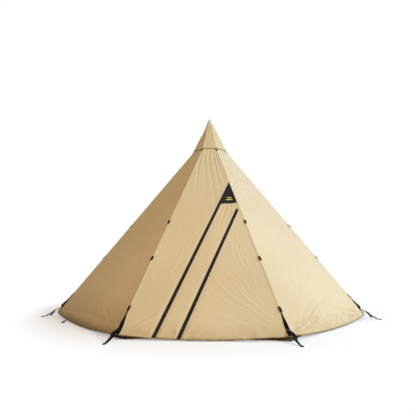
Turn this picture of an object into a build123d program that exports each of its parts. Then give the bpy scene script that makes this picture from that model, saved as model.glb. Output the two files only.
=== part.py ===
from build123d import *
import math
import os

# Eight-sided canvas teepee tent on one centre pole, pitched and closed, in millimetres.
# Origin: on the ground under the pole. +Z up. The door side faces -Y.
# A compass angle is measured from the door side, positive towards +X.

# ---- driving dimensions ----
SIDES = 8
STEP_ANGLE = 360 / SIDES
HEM_CORNER_R = 2400.0
HEM_CORNER_Z = 52.0
VIRTUAL_APEX_Z = 3100.0
CANVAS = 2.0
SEAM_INSET = 1.0
CROWN_SLANT = 190.0

# Door, in the front panel: x across from the middle, s down the slope from the apex.
SPLIT = 0.3
LEFT_ZIP_TOP_S = 1370.0
LEFT_ZIP_HEM_X = -528.0
RIGHT_ZIP_TOP_S = 1894.0
RIGHT_ZIP_HEM_X = -263.0
PATCH_LEFT_S = 1815.0
PATCH_RIGHT_S = 1790.0
HINGE_TOP_INSET = 10.0
HINGE_HEM_INSET = 150.0
DOOR_HEM_LIFT = 8.0
TAPE_WIDTH = 19.5
TAPE = 1.2
TAPE_HEM_GAP = 4.0
FIXED_TAPE_GAP = 12.0
STRIP_TAPE_GAP = 8.0
FLAP_TAPE_GAP = 12.0
FLAP_TAPE_INSET = 4.0
COIL_WIDTH = 3.0
COIL_HEIGHT = 2.8
COIL_TOP_GAP = 30.0
COIL_LOW_GAP = 6.0
STRIP_CORNER = (3.0, 6.0)
FLAP_TIP = 10.0

# Zip sliders and pulls
SLIDER_HEM_GAP = 80.0
SLIDER_LENGTH = 22.0
SLIDER_WIDTH = 14.0
SLIDER_TOP = 6.0
SLIDER_GAP = 0.4
BRIDGE = (4.0, 16.0, 3.8)
BRIDGE_WINDOW = (6.0, 10.0, 2.2)
PULL_LENGTH = 46.0
PULL_WIDTH = 10.0
PULL_THICKNESS = 1.2
PULL_BOTTOM = 6.5
PULL_TOP_Y = -3.2
PULL_BAR = 1.2
PULL_EYE = (5.0, 6.2)
PULL_HOLE_R = 2.2
PULL_HOLE_INSET = 7.0
PULL_END_R = 3.5

# Webbing and fittings
WEB_WIDTH = 25.0
WEB = 1.5
RIDGE_DEPTH = 9.0
RIDGE_END_S = 3700.0
GUY_TAB_S = (2170.0, 2780.0, 3463.0)
GUY_TAB = (52.0, 20.0, 3.0)
GUY_TAB_LIFT = 1.5
CORNER_PATCH_TOP_S = 3497.0
CORNER_PATCH_HALF = (4.0, 14.0, 12.0)
CORNER_PATCH_GAP = 0.8
CORNER_PATCH_HEM_GAP = 4.0
STRAP_JOINT_S = 3693.0
STRAP_LIFT = 8.0
TAB_ROOT = 6.0
TAB_END = 4.2
TAB = 2.4
LOCK_BAR = 8.0
LOCK_LENGTH = 40.0
LOCK_WIDTH = 34.0
LOCK_THICKNESS = 5.0
LOCK_OVERHANG = 3.0
LOCK_RIM = 4.0
LOCK_SLOTS = ((7.5, 9.0), (25.0, 14.0))
STRAP = 2.4
STRAP_WIDTH = 22.0
STRAP_DROP = 5.0
STRAP_GAP = 0.5
EYE_GAP = 1.0
LOWER_STRAP_WIDTH = 20.0
LOWER_STRAP_TOP = (2428.0, 27.0)
LOWER_STRAP_END_Z = 1.0
EYE_R = 2588.0
EYE_HOLE_R = 8.0
EYE_LENGTH = 48.0
EYE_WIDTH = 32.0
EYE_BOTTOM = 0.5
EYE_THICKNESS = 4.0
HEM_LOOP = (82.0, 22.0, 3.0)
HEM_LOOP_GAP = 5.0
HEM_LOOP_X = -370.0
FIRST_LOOP_SIDE = 2
HEM_LOOP_BOTTOM = 0.5

# Sod cloth: a short skirt inside the hem, then a flap turned in along the ground
SKIRT_TOP_S = 3670.0
SKIRT_DEPTH = 2.7
SKIRT = 1.5
SKIRT_INSET = 4.0
SKIRT_GROUND_GAP = 1.5
SOD_DEPTH = 190.0
SOD = 2.0
SOD_INSET = 3.0

# Crown webbing
CROWN_BAND_WIDTH = 40.0
CROWN_BAND = 2.0
CROWN_BAND_INSET = 6.0
CROWN_STRAP_TOP_S = 60.0
CROWN_STRAP_WIDTH = 20.0
CROWN_STRAP_GAP = 1.0
RIDGE_TOP_S = 193.0

# Pole
POLE_FOOT_R = 60.0
POLE_FOOT = 8.0
SOCKET_R = 27.0
SOCKET_TOP = 48.0
POLE_WALL = 1.7
POLE_R = (21.0, 19.0, 17.0)
POLE_SPAN = ((8.0, 1150.0), (1030.0, 2200.0), (2080.0, 3055.0))
POLE_FIT = 0.3
BUTTON_R = 4.0
BUTTON_Z = (1090.0, 2140.0)
BUTTON_ROOT_R = 12.0
BUTTON_PROUD = 2.5
FOOT_CHAMFER = 3.0
HEAD_R = 28.0
HEAD_CHAMFER = 4.0
HEAD_BOTTOM = 3022.0
HEAD_TOP = 3064.0
FINIAL_R = 8.0
KNOB_R = 14.0
KNOB_GAP = 0.1

# Vent hat
HAT_RIM_R = 313.0
HAT_RIM_Z = 2721.0
HAT_TOP_R = 25.0
HAT_TOP_Z = 3338.6
HAT_TIP_Z = 3365.0
HAT_BINDING = 14.0
HAT_CAP_GAP = 0.2
HAT_CAP_R = (27.0, 22.0, 13.0)
HAT_CAP_SHOULDER = 9.0
HAT_CAP_NOSE = 3.0
TOGGLE_TOP_R = 298.8
TOGGLE_TOP_LIFT = 3.0
TOGGLE_WIDTH = 22.0
TOGGLE = 3.0
TOGGLE_LENGTH = 44.0

# Badge on the door patch: the slope distance and half width of each bar
BADGE_X = 316.0
BADGE_BARS = ((1712.0, 34.0), (1744.0, 46.0))
BADGE_BAR = 14.0
BADGE = 1.0

# ---- derived geometry ----
HALF_TURN = math.radians(STEP_ANGLE / 2)


class Pyramid:
    """The planes of an eight-sided pyramid, given its apex height and one base corner."""

    def __init__(self, apex_z, corner_r, corner_z):
        self.apex_z = apex_z
        run = corner_r * math.cos(HALF_TURN)
        drop = apex_z - corner_z
        self.slant = math.hypot(run, drop)
        self.cos = run / self.slant
        self.sin = drop / self.slant
        self.spread = corner_r * math.sin(HALF_TURN) / self.slant

    def plane(self, compass):
        """Plane of one side: X across, Y up the slope, Z outward, origin at the apex."""
        turn = math.radians(compass)
        out_x = math.sin(turn)
        out_y = -math.cos(turn)
        return Plane(
            origin=(0, 0, self.apex_z),
            x_dir=(math.cos(turn), math.sin(turn), 0),
            z_dir=(out_x * self.sin, out_y * self.sin, self.cos),
        )

    def seam(self, inset):
        """The right-hand seam, as a line (x at s = 0, x per s), moved in by inset."""
        return (-inset * math.hypot(1, self.spread), self.spread)


CANVAS_SHAPE = Pyramid(VIRTUAL_APEX_Z, HEM_CORNER_R, HEM_CORNER_Z)
HAT_SHAPE_APEX = HAT_RIM_Z + (HAT_TOP_Z - HAT_RIM_Z) * HAT_RIM_R / (HAT_RIM_R - HAT_TOP_R)
HAT_SHAPE = Pyramid(HAT_SHAPE_APEX, HAT_RIM_R, HAT_RIM_Z)
HAT_TOP_S = HAT_SHAPE.slant * HAT_TOP_R / HAT_RIM_R

# The hem is an arc in each side, from the raised corners down to the ground in the middle.
CORNER_X = HEM_CORNER_R * math.sin(HALF_TURN)
CORNER_S = CANVAS_SHAPE.slant
SEAM_DROP = VIRTUAL_APEX_Z - HEM_CORNER_Z
SEAM_LENGTH = math.hypot(HEM_CORNER_R, SEAM_DROP)
HEM_MIDDLE_S = (VIRTUAL_APEX_Z - CANVAS * CANVAS_SHAPE.cos) / CANVAS_SHAPE.sin
HEM_SAG = HEM_MIDDLE_S - CORNER_S
HEM_ARC_R = (CORNER_X**2 + HEM_SAG**2) / (2 * HEM_SAG)


def hem(x, lift=0.0):
    """Slope distance of the hem at x, raised by lift."""
    return HEM_MIDDLE_S - HEM_ARC_R + math.sqrt(HEM_ARC_R**2 - x * x) - lift


def through(a, b):
    """The line x = x0 + slope * s through two points (x, s)."""
    slope = (b[0] - a[0]) / (b[1] - a[1])
    return (a[0] - slope * a[1], slope)


def shifted(line, right):
    """A line moved to the right by a distance measured square to it."""
    return (line[0] + right * math.hypot(1, line[1]), line[1])


def at(line, s):
    return (line[0] + line[1] * s, s)


def crossing(a, b):
    s = (b[0] - a[0]) / (a[1] - b[1])
    return at(a, s)


def at_hem(line, lift=0.0):
    """Where a line meets the hem, found by a few fixed-point steps."""
    s = HEM_MIDDLE_S
    for _ in range(30):
        s = hem(line[0] + line[1] * s, lift)
    return at(line, s)


RIGHT_SEAM = CANVAS_SHAPE.seam(SEAM_INSET)
LEFT_SEAM = (-RIGHT_SEAM[0], -RIGHT_SEAM[1])
SEAM_LINE = CANVAS_SHAPE.seam(0)
LEFT_ZIP = through(at(SEAM_LINE, LEFT_ZIP_TOP_S), (LEFT_ZIP_HEM_X, hem(LEFT_ZIP_HEM_X)))
HINGE_TOP = (at(SEAM_LINE, PATCH_RIGHT_S)[0] - HINGE_TOP_INSET, PATCH_RIGHT_S)
HINGE_HEM = (CORNER_X - HINGE_HEM_INSET, hem(CORNER_X - HINGE_HEM_INSET))
HINGE = through(HINGE_TOP, HINGE_HEM)
RIGHT_ZIP = through(at(HINGE, RIGHT_ZIP_TOP_S), (RIGHT_ZIP_HEM_X, hem(RIGHT_ZIP_HEM_X)))
PATCH_TILT = (PATCH_RIGHT_S - PATCH_LEFT_S) / (HINGE_TOP[0] - at(LEFT_ZIP, PATCH_LEFT_S)[0])


def patch_edge(line, down):
    """Where a line meets the patch's lower edge, moved down by a distance."""
    left_x = at(LEFT_ZIP, PATCH_LEFT_S)[0]
    start = PATCH_LEFT_S + down
    s = (start + PATCH_TILT * (line[0] - left_x)) / (1 - PATCH_TILT * line[1])
    return at(line, s)


def slab(plane, wires, low, high):
    """A plate between two heights above a plane, from wires drawn in the plane."""
    face = plane * make_face(wires)
    moved = Pos(*(plane.z_dir * low)) * face
    return Solid.extrude(moved.faces()[0], plane.z_dir * (high - low))


def ring(points):
    """A closed outline in a side's own x and s."""
    return Polyline(*[(x, -s) for x, s in points], close=True)


def plate(compass, points, low=-CANVAS, high=0.0, shape=CANVAS_SHAPE):
    return slab(shape.plane(compass), ring(points), low, high)


def hem_plate(compass, upper, left, right, lift=0.0):
    """A plate with straight upper edges (left to right) and the curved hem below."""
    middle_x = (left[0] + right[0]) / 2
    points = [left, *upper, right]
    top = Polyline(*[(x, -s) for x, s in points])
    low_edge = ThreePointArc(
        (right[0], -right[1]), (middle_x, -hem(middle_x, lift)), (left[0], -left[1])
    )
    return slab(CANVAS_SHAPE.plane(compass), top + low_edge, -CANVAS, 0.0)


def corner_turn(corner):
    """Turns +X to point out at corner 0 to 7."""
    return Rot(0, 0, STEP_ANGLE * (corner + 0.5) - 90)


def radial(corner, outline, width):
    """A strip standing in the vertical plane of corner 0 to 7, from (r, z) points."""
    face = Plane.XZ * make_face(Polyline(*outline, close=True))
    solid = Solid.extrude(face.faces()[0], Vector(0, width, 0))
    return corner_turn(corner) * Pos(0, -width / 2, 0) * solid


def seam_point(s, lift):
    """(r, z) on a seam at slope distance s, lifted square to the seam."""
    r = HEM_CORNER_R * s / CORNER_S
    z = VIRTUAL_APEX_Z - SEAM_DROP * s / CORNER_S
    return (r + lift * SEAM_DROP / SEAM_LENGTH, z + lift * HEM_CORNER_R / SEAM_LENGTH)


def seam_strip(corner, s_top, s_low, low, high, width):
    """A strip along a seam, between two slope distances and two heights above it."""
    outline = [
        seam_point(s_top, low),
        seam_point(s_low, low),
        seam_point(s_low, high),
        seam_point(s_top, high),
    ]
    return radial(corner, outline, width)


# ---- canvas ----
def full_panel(compass):
    upper = [at(LEFT_SEAM, CROWN_SLANT), at(RIGHT_SEAM, CROWN_SLANT)]
    return hem_plate(compass, upper, at_hem(LEFT_SEAM), at_hem(RIGHT_SEAM))


def front_panel():
    zip_edge = shifted(LEFT_ZIP, -SPLIT)
    upper = [
        at(LEFT_SEAM, CROWN_SLANT),
        at(RIGHT_SEAM, CROWN_SLANT),
        crossing(zip_edge, RIGHT_SEAM),
    ]
    return hem_plate(0, upper, at_hem(LEFT_SEAM), at_hem(zip_edge))


def door_patch():
    zip_edge = shifted(LEFT_ZIP, SPLIT)
    points = [
        crossing(zip_edge, RIGHT_SEAM),
        patch_edge(RIGHT_SEAM, 0.0),
        patch_edge(zip_edge, 0.0),
    ]
    return plate(0, points)


def door_strip():
    """The strip between the zips, with its top left corner cut off to clear the zip when it lifts."""
    left_edge = shifted(LEFT_ZIP, SPLIT)
    hinge_edge = shifted(HINGE, -SPLIT)
    right_edge = shifted(RIGHT_ZIP, -SPLIT)
    corner_width, corner_length = STRIP_CORNER
    upper = [
        at(left_edge, PATCH_LEFT_S + corner_length),
        patch_edge(shifted(left_edge, corner_width), 2 * SPLIT),
        patch_edge(hinge_edge, 2 * SPLIT),
        crossing(hinge_edge, right_edge),
    ]
    left = at_hem(left_edge, DOOR_HEM_LIFT)
    return hem_plate(0, upper, left, at_hem(right_edge, DOOR_HEM_LIFT), DOOR_HEM_LIFT)


def door_flap():
    """The flap right of the right zip, with its pointed top cut off to clear the strip."""
    left_edge = shifted(RIGHT_ZIP, SPLIT)
    hinge_edge = shifted(HINGE, -SPLIT)
    left = at_hem(left_edge, DOOR_HEM_LIFT)
    top = RIGHT_ZIP_TOP_S + FLAP_TIP
    upper = [at(left_edge, top), at(hinge_edge, top)]
    return hem_plate(0, upper, left, at_hem(hinge_edge, DOOR_HEM_LIFT), DOOR_HEM_LIFT)


def door_edge_panel():
    hinge_edge = shifted(HINGE, SPLIT)
    upper = [patch_edge(hinge_edge, 2 * SPLIT), patch_edge(RIGHT_SEAM, 2 * SPLIT)]
    return hem_plate(0, upper, at_hem(hinge_edge), at_hem(RIGHT_SEAM))


# ---- zip tapes, sliders and pulls ----
def tape(line, side, s_top, pointed_line=None):
    """A zip tape on one side (-1 or 1) of a zip line, with its half of the coil."""
    inner = shifted(line, side * SPLIT)
    outer = shifted(line, side * (SPLIT + TAPE_WIDTH))
    coil = shifted(line, side * (SPLIT + COIL_WIDTH))
    low = hem(at_hem(outer)[0]) - DOOR_HEM_LIFT - TAPE_HEM_GAP
    outer_top = at(outer, s_top)
    if pointed_line:
        outer_top = crossing(outer, pointed_line)
    inner_top = at(inner, s_top)
    band = plate(0, [inner_top, outer_top, at(outer, low), at(inner, low)], 0.0, TAPE)
    coil_top = s_top + COIL_TOP_GAP
    coil_low = low - COIL_LOW_GAP
    corners = [at(inner, coil_top), at(coil, coil_top), at(coil, coil_low), at(inner, coil_low)]
    ridge = plate(0, corners, TAPE, COIL_HEIGHT)
    return band + ridge


def flap_tape():
    """The tape on the flap, whose top follows the hinge line."""
    point_line = shifted(HINGE, -FLAP_TAPE_INSET)
    return tape(RIGHT_ZIP, 1, RIGHT_ZIP_TOP_S + FLAP_TAPE_GAP, point_line)


def zip_frame(line):
    """A frame at the slider's rest place: X square to the zip, Y up it, Z outward."""
    x, s = at(line, at_hem(line)[1] - SLIDER_HEM_GAP)
    angle = math.degrees(math.atan(line[1]))
    return Location(CANVAS_SHAPE.plane(0)) * Location((x, -s, 0), (0, 0, angle))


def slider(side):
    """Slider body that hooks over the coil on one side of the zip."""
    inner = SPLIT
    outer = SPLIT + SLIDER_WIDTH
    foot_in = SPLIT + COIL_WIDTH + SLIDER_GAP
    deck_low = COIL_HEIGHT + SLIDER_GAP
    foot_low = TAPE + SLIDER_GAP
    outline = [
        (inner, deck_low),
        (foot_in, deck_low),
        (foot_in, foot_low),
        (outer, foot_low),
        (outer, SLIDER_TOP),
        (inner, SLIDER_TOP),
    ]
    points = [(side * x, z) for x, z in outline]
    face = Plane.XZ * make_face(Polyline(*points, close=True))
    body = Solid.extrude(face.faces()[0], Vector(0, SLIDER_LENGTH, 0))
    body = Pos(0, -SLIDER_LENGTH / 2, 0) * body
    middle = side * (SPLIT + SLIDER_WIDTH / 2)
    bridge = Pos(middle, 0, SLIDER_TOP + BRIDGE[2] / 2) * Box(*BRIDGE)
    window = Pos(middle, 0, SLIDER_TOP + BRIDGE_WINDOW[2] / 2) * Box(*BRIDGE_WINDOW)
    return body + (bridge - window)


def pull(side):
    """Pull tab whose upper bar turns in the slider's bridge."""
    middle = side * (SPLIT + SLIDER_WIDTH / 2)
    blade = Pos(0, -PULL_LENGTH / 2) * Rectangle(PULL_WIDTH, PULL_LENGTH)
    eye = Pos(0, -PULL_BAR - PULL_EYE[1] / 2) * Rectangle(*PULL_EYE)
    hole = Pos(0, PULL_HOLE_INSET - PULL_LENGTH) * Circle(PULL_HOLE_R)
    solid = Pos(middle, PULL_TOP_Y, PULL_BOTTOM) * extrude(blade - eye - hole, PULL_THICKNESS)
    ends = solid.edges().filter_by(Axis.Z).group_by(Axis.Y)[0]
    return fillet(ends, PULL_END_R)


# ---- vent hat ----
def hat_gore(compass):
    right = HAT_SHAPE.seam(SEAM_INSET)
    left = (-right[0], -right[1])
    low = HAT_SHAPE.slant
    points = [at(left, HAT_TOP_S), at(right, HAT_TOP_S), at(right, low), at(left, low)]
    return plate(compass, points, -CANVAS, 0.0, HAT_SHAPE)


def hat_binding(compass):
    right = HAT_SHAPE.seam(SEAM_INSET)
    left = (-right[0], -right[1])
    low = HAT_SHAPE.slant
    top = low - HAT_BINDING
    points = [at(left, top), at(right, top), at(right, low), at(left, low)]
    return plate(compass, points, 0.0, TAPE, HAT_SHAPE)


def hat_cap():
    base = HAT_TOP_Z + HAT_CAP_GAP
    base_r, shoulder_r, nose_r = HAT_CAP_R
    outline = [
        (0, base),
        (base_r, base),
        (shoulder_r, base + HAT_CAP_SHOULDER),
        (nose_r, HAT_TIP_Z - HAT_CAP_NOSE),
        (0, HAT_TIP_Z),
    ]
    face = Plane.XZ * make_face(Polyline(*outline, close=True))
    return revolve(face, Axis.Z)


def hat_toggle(corner):
    """Tab from under the hat's rim down onto a seam."""
    s_low = HAT_RIM_R / HEM_CORNER_R * CORNER_S + TOGGLE_LENGTH
    top_z = HAT_RIM_Z + TOGGLE_TOP_LIFT
    outline = [
        (TOGGLE_TOP_R, top_z),
        seam_point(s_low, TOGGLE),
        seam_point(s_low, 2 * TOGGLE),
        (TOGGLE_TOP_R + TOGGLE, top_z),
    ]
    return radial(corner, outline, TOGGLE_WIDTH)


# ---- corners ----
def corner_patch(compass, side):
    """Half of the black reinforcement over a seam, on one of its two sides."""
    edge = shifted(SEAM_LINE, -CORNER_PATCH_GAP)
    low = CORNER_S - CORNER_PATCH_HEM_GAP
    top_half, joint_half, low_half = CORNER_PATCH_HALF
    points = [
        at(edge, CORNER_PATCH_TOP_S),
        at(edge, low),
        at(shifted(SEAM_LINE, -low_half), low),
        at(shifted(SEAM_LINE, -joint_half), STRAP_JOINT_S),
        at(shifted(SEAM_LINE, -top_half), CORNER_PATCH_TOP_S),
    ]
    mirrored = [(side * x, s) for x, s in points]
    return plate(compass, mirrored, 0.0, TAPE)


def strap_line():
    """Start (r, z) of a corner strap, at the lock's hinge bar, and its unit direction."""
    start = seam_point(STRAP_JOINT_S, STRAP_LIFT)
    end = (EYE_R - EYE_LENGTH / 2, EYE_BOTTOM + EYE_THICKNESS / 2 + STRAP_DROP)
    length = math.hypot(end[0] - start[0], end[1] - start[1])
    way = ((end[0] - start[0]) / length, (end[1] - start[1]) / length)
    bar = (start[0] + LOCK_BAR * way[0], start[1] + LOCK_BAR * way[1])
    return bar, way, length - LOCK_BAR


def along(distance, lift):
    """(r, z) at a distance down a corner strap from its hinge bar, lifted square to it."""
    bar, way, _ = strap_line()
    return (bar[0] + distance * way[0] - lift * way[1], bar[1] + distance * way[1] + lift * way[0])


def corner_tab(corner):
    """Short webbing tab from the corner patch to the lock's hinge bar."""
    outline = [
        seam_point(STRAP_JOINT_S - TAB_ROOT, WEB),
        seam_point(STRAP_JOINT_S + TAB_ROOT, WEB),
        along(-TAB_END, -TAB / 2),
        along(-TAB_END, TAB / 2),
    ]
    return radial(corner, outline, STRAP_WIDTH)


def ladder_lock(corner):
    """Buckle with two slots: one round the tab, one for the strap."""
    middle = LOCK_LENGTH / 2 - LOCK_OVERHANG
    lock = Pos(middle, 0, 0) * Box(LOCK_LENGTH, LOCK_WIDTH, LOCK_THICKNESS)
    for slot_x, slot_length in LOCK_SLOTS:
        lock -= Pos(slot_x, 0, 0) * Box(slot_length, LOCK_WIDTH - 2 * LOCK_RIM, LOCK_THICKNESS)
    lock = chamfer(lock.edges().filter_by(Axis.Z).group_by(Axis.X)[-1], LOCK_THICKNESS / 2)
    bar, way, _ = strap_line()
    dip = -math.degrees(math.atan2(way[1], way[0]))
    return corner_turn(corner) * Pos(bar[0], 0, bar[1]) * Rot(0, dip, 0) * lock


def corner_strap(corner):
    """Strap to the peg eye, the eye, and the lower strap back towards the hem corner."""
    _, _, length = strap_line()
    start = LOCK_LENGTH - LOCK_OVERHANG + STRAP_GAP
    end = length - EYE_GAP
    upper = [
        along(start, -STRAP / 2),
        along(end, -STRAP / 2),
        along(end, STRAP / 2),
        along(start, STRAP / 2),
    ]
    lower_r, lower_z = LOWER_STRAP_TOP
    lower_end = EYE_R - EYE_LENGTH / 2 - EYE_GAP
    lower = [
        (lower_r, lower_z),
        (lower_end, LOWER_STRAP_END_Z),
        (lower_end, LOWER_STRAP_END_Z + STRAP),
        (lower_r, lower_z + STRAP),
    ]
    outline = SlotOverall(EYE_LENGTH, EYE_WIDTH) - Circle(EYE_HOLE_R)
    eye = Pos(EYE_R, 0, EYE_BOTTOM) * extrude(outline, EYE_THICKNESS)
    return [
        radial(corner, upper, STRAP_WIDTH),
        radial(corner, lower, LOWER_STRAP_WIDTH),
        corner_turn(corner) * eye,
    ]


def guy_tabs():
    length, width, thickness = GUY_TAB
    half = length / 2 * CORNER_S / SEAM_LENGTH
    top = GUY_TAB_LIFT + thickness
    return [
        seam_strip(corner, s - half, s + half, GUY_TAB_LIFT, top, width)
        for corner in range(SIDES)
        for s in GUY_TAB_S
    ]


def hem_peg_loops():
    """Loops at the hem, one on each side but the door side and the side right of it."""
    length, width, thickness = HEM_LOOP
    start = VIRTUAL_APEX_Z / CANVAS_SHAPE.sin * CANVAS_SHAPE.cos + HEM_LOOP_GAP
    middle_z = HEM_LOOP_BOTTOM + thickness / 2
    loop = Pos(HEM_LOOP_X, -start - length / 2, middle_z) * Box(width, length, thickness)
    return [Rot(0, 0, STEP_ANGLE * k) * loop for k in range(FIRST_LOOP_SIDE, SIDES)]


# ---- sod cloth ----
def sod_skirt(compass):
    """Sloping strip just inside the hem, down to the ground."""
    edge = CANVAS_SHAPE.seam(SKIRT_INSET)
    other = (-edge[0], -edge[1])
    drop = VIRTUAL_APEX_Z - SOD - SKIRT_GROUND_GAP
    low = (drop - (SKIRT_DEPTH + SKIRT) * CANVAS_SHAPE.cos) / CANVAS_SHAPE.sin
    points = [at(other, SKIRT_TOP_S), at(edge, SKIRT_TOP_S), at(edge, low), at(other, low)]
    return plate(compass, points, -SKIRT_DEPTH - SKIRT, -SKIRT_DEPTH)


def sod_ground_flap(compass):
    """Flat cloth turned in along the ground."""
    reach = (VIRTUAL_APEX_Z - SOD) / CANVAS_SHAPE.sin * CANVAS_SHAPE.cos
    outer = reach - SKIRT_DEPTH - SOD_INSET
    inner = outer - SOD_DEPTH
    spread = math.tan(HALF_TURN)
    outer_half = outer * spread - SOD_INSET
    inner_half = inner * spread - SOD_INSET
    outline = [
        (-outer_half, -outer),
        (outer_half, -outer),
        (inner_half, -inner),
        (-inner_half, -inner),
    ]
    return Rot(0, 0, compass) * extrude(make_face(Polyline(*outline, close=True)), SOD)


# ---- crown and pole ----
def crown_band(compass):
    """Webbing inside the canvas's top edge."""
    edge = CANVAS_SHAPE.seam(CROWN_BAND_INSET)
    other = (-edge[0], -edge[1])
    top = CROWN_SLANT + CROWN_BAND
    low = top + CROWN_BAND_WIDTH
    points = [at(other, top), at(edge, top), at(edge, low), at(other, low)]
    high = -CANVAS - POLE_FIT
    return plate(compass, points, high - CROWN_BAND, high)


def tube(radius, low, high, wall):
    return Pos(0, 0, (low + high) / 2) * (
        Cylinder(radius, high - low) - Cylinder(radius - wall, high - low)
    )


def button_hole(z, reach):
    return Pos(reach / 2, 0, z) * Rot(0, 90, 0) * Cylinder(BUTTON_R + POLE_FIT, reach)


def pole_section(k, holes):
    """Section k of the pole, lowest first, with button holes at the heights given."""
    low, high = POLE_SPAN[k]
    section = tube(POLE_R[k], low, high, POLE_WALL)
    for z in holes:
        section -= button_hole(z, 2 * POLE_R[k])
    return section


def pole_buttons():
    """Spring buttons that lock the pole sections, through both walls."""
    solids = []
    for z, outer in zip(BUTTON_Z, POLE_R):
        reach = outer + BUTTON_PROUD - BUTTON_ROOT_R
        stud = Rot(0, 90, 0) * Cylinder(BUTTON_R, reach)
        solids.append(Pos(BUTTON_ROOT_R + reach / 2, 0, z) * stud)
    return solids


def pole_foot():
    pad = Pos(0, 0, POLE_FOOT / 2) * Cylinder(POLE_FOOT_R, POLE_FOOT)
    pad = chamfer(pad.edges().group_by(Axis.Z)[-1], FOOT_CHAMFER)
    socket = tube(SOCKET_R, POLE_FOOT, SOCKET_TOP, SOCKET_R - POLE_R[0] - POLE_FIT)
    return pad + socket


def pole_head():
    body = Pos(0, 0, (HEAD_BOTTOM + HEAD_TOP) / 2) * Cylinder(HEAD_R, HEAD_TOP - HEAD_BOTTOM)
    depth = POLE_SPAN[2][1] - HEAD_BOTTOM
    bore = Pos(0, 0, HEAD_BOTTOM + depth / 2) * Cylinder(POLE_R[2] + POLE_FIT, depth)
    return chamfer(body.edges().group_by(Axis.Z)[-1], HEAD_CHAMFER) - bore


def pole_finial():
    """Rod and round knob that hold up the hat."""
    knob_z = HAT_TOP_Z - KNOB_R - KNOB_GAP
    rod = Pos(0, 0, (HEAD_TOP + knob_z) / 2) * Cylinder(FINIAL_R, knob_z - HEAD_TOP)
    return rod + Pos(0, 0, knob_z) * Sphere(KNOB_R)


def crown_straps():
    """Webbing from each ridge up to the pole head."""
    top_s = CROWN_STRAP_TOP_S * CORNER_S / SEAM_LENGTH
    low_s = CROWN_SLANT + CROWN_STRAP_GAP
    deep = RIDGE_DEPTH + WEB
    return [
        seam_strip(corner, top_s, low_s, -deep, -RIDGE_DEPTH, CROWN_STRAP_WIDTH)
        for corner in range(SIDES)
    ]


def ridge_webbing():
    """Webbing down the inside of each seam."""
    deep = RIDGE_DEPTH + WEB
    return [
        seam_strip(corner, RIDGE_TOP_S, RIDGE_END_S, -deep, -RIDGE_DEPTH, WEB_WIDTH)
        for corner in range(SIDES)
    ]


def patch_badge():
    """Plain badge of two bars near the patch's lower edge."""
    bars = []
    for s, half in BADGE_BARS:
        left, right, low = BADGE_X - half, BADGE_X + half, s + BADGE_BAR
        bars.append(plate(0, [(left, s), (right, s), (right, low), (left, low)], 0.0, BADGE))
    return bars


COMPASS = [STEP_ANGLE * k for k in range(SIDES)]
PANEL_NAMES = [
    "panel_right_front",
    "panel_right",
    "panel_right_back",
    "panel_back",
    "panel_left_back",
    "panel_left",
    "panel_left_front",
]

nodes = {
    "front_panel": front_panel(),
    "door_patch": door_patch(),
    "door_strip": door_strip(),
    "door_flap": door_flap(),
    "door_edge_panel": door_edge_panel(),
    "zip_tape_fixed": tape(LEFT_ZIP, -1, LEFT_ZIP_TOP_S + FIXED_TAPE_GAP),
    "zip_tape_strip_left": tape(LEFT_ZIP, 1, PATCH_LEFT_S + STRIP_TAPE_GAP),
    "zip_tape_strip_right": tape(RIGHT_ZIP, -1, RIGHT_ZIP_TOP_S + STRIP_TAPE_GAP),
    "zip_tape_flap": flap_tape(),
    "slider_left": zip_frame(LEFT_ZIP) * slider(-1),
    "slider_right": zip_frame(RIGHT_ZIP) * slider(1),
    "pull_left": zip_frame(LEFT_ZIP) * pull(-1),
    "pull_right": zip_frame(RIGHT_ZIP) * pull(1),
    "patch_badge": patch_badge(),
    "vent_hat": [hat_gore(compass) for compass in COMPASS],
    "hat_binding": [hat_binding(compass) for compass in COMPASS],
    "hat_cap": hat_cap(),
    "hat_toggles": [hat_toggle(corner) for corner in range(SIDES)],
    "corner_patches": [corner_patch(compass, side) for compass in COMPASS for side in (-1, 1)],
    "corner_tabs": [corner_tab(corner) for corner in range(SIDES)],
    "guy_tabs": guy_tabs(),
    "hem_peg_loops": hem_peg_loops(),
    "ridge_webbing": ridge_webbing(),
    "sod_skirt": [sod_skirt(compass) for compass in COMPASS],
    "sod_ground_flap": [sod_ground_flap(compass) for compass in COMPASS],
    "crown_band": [crown_band(compass) for compass in COMPASS],
    "crown_straps": crown_straps(),
    "pole_head": pole_head(),
    "pole_finial": pole_finial(),
    "pole_upper": pole_section(2, BUTTON_Z[1:]),
    "pole_middle": pole_section(1, BUTTON_Z),
    "pole_lower": pole_section(0, BUTTON_Z[:1]),
    "pole_buttons": pole_buttons(),
    "pole_foot": pole_foot(),
}
for k, panel_name in enumerate(PANEL_NAMES, start=1):
    nodes[panel_name] = full_panel(COMPASS[k])
for corner in range(SIDES):
    nodes[f"corner_strap_{corner + 1}"] = corner_strap(corner)
    nodes[f"ladder_lock_{corner + 1}"] = ladder_lock(corner)

os.makedirs("parts", exist_ok=True)
for name, shape in nodes.items():
    solids = shape if isinstance(shape, list) else [shape]
    flat = [solid for item in solids for solid in item.solids()]
    whole = flat[0] if len(flat) == 1 else Compound(children=flat)
    export_step(whole, f"parts/{name}.step")
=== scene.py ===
import math

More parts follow.
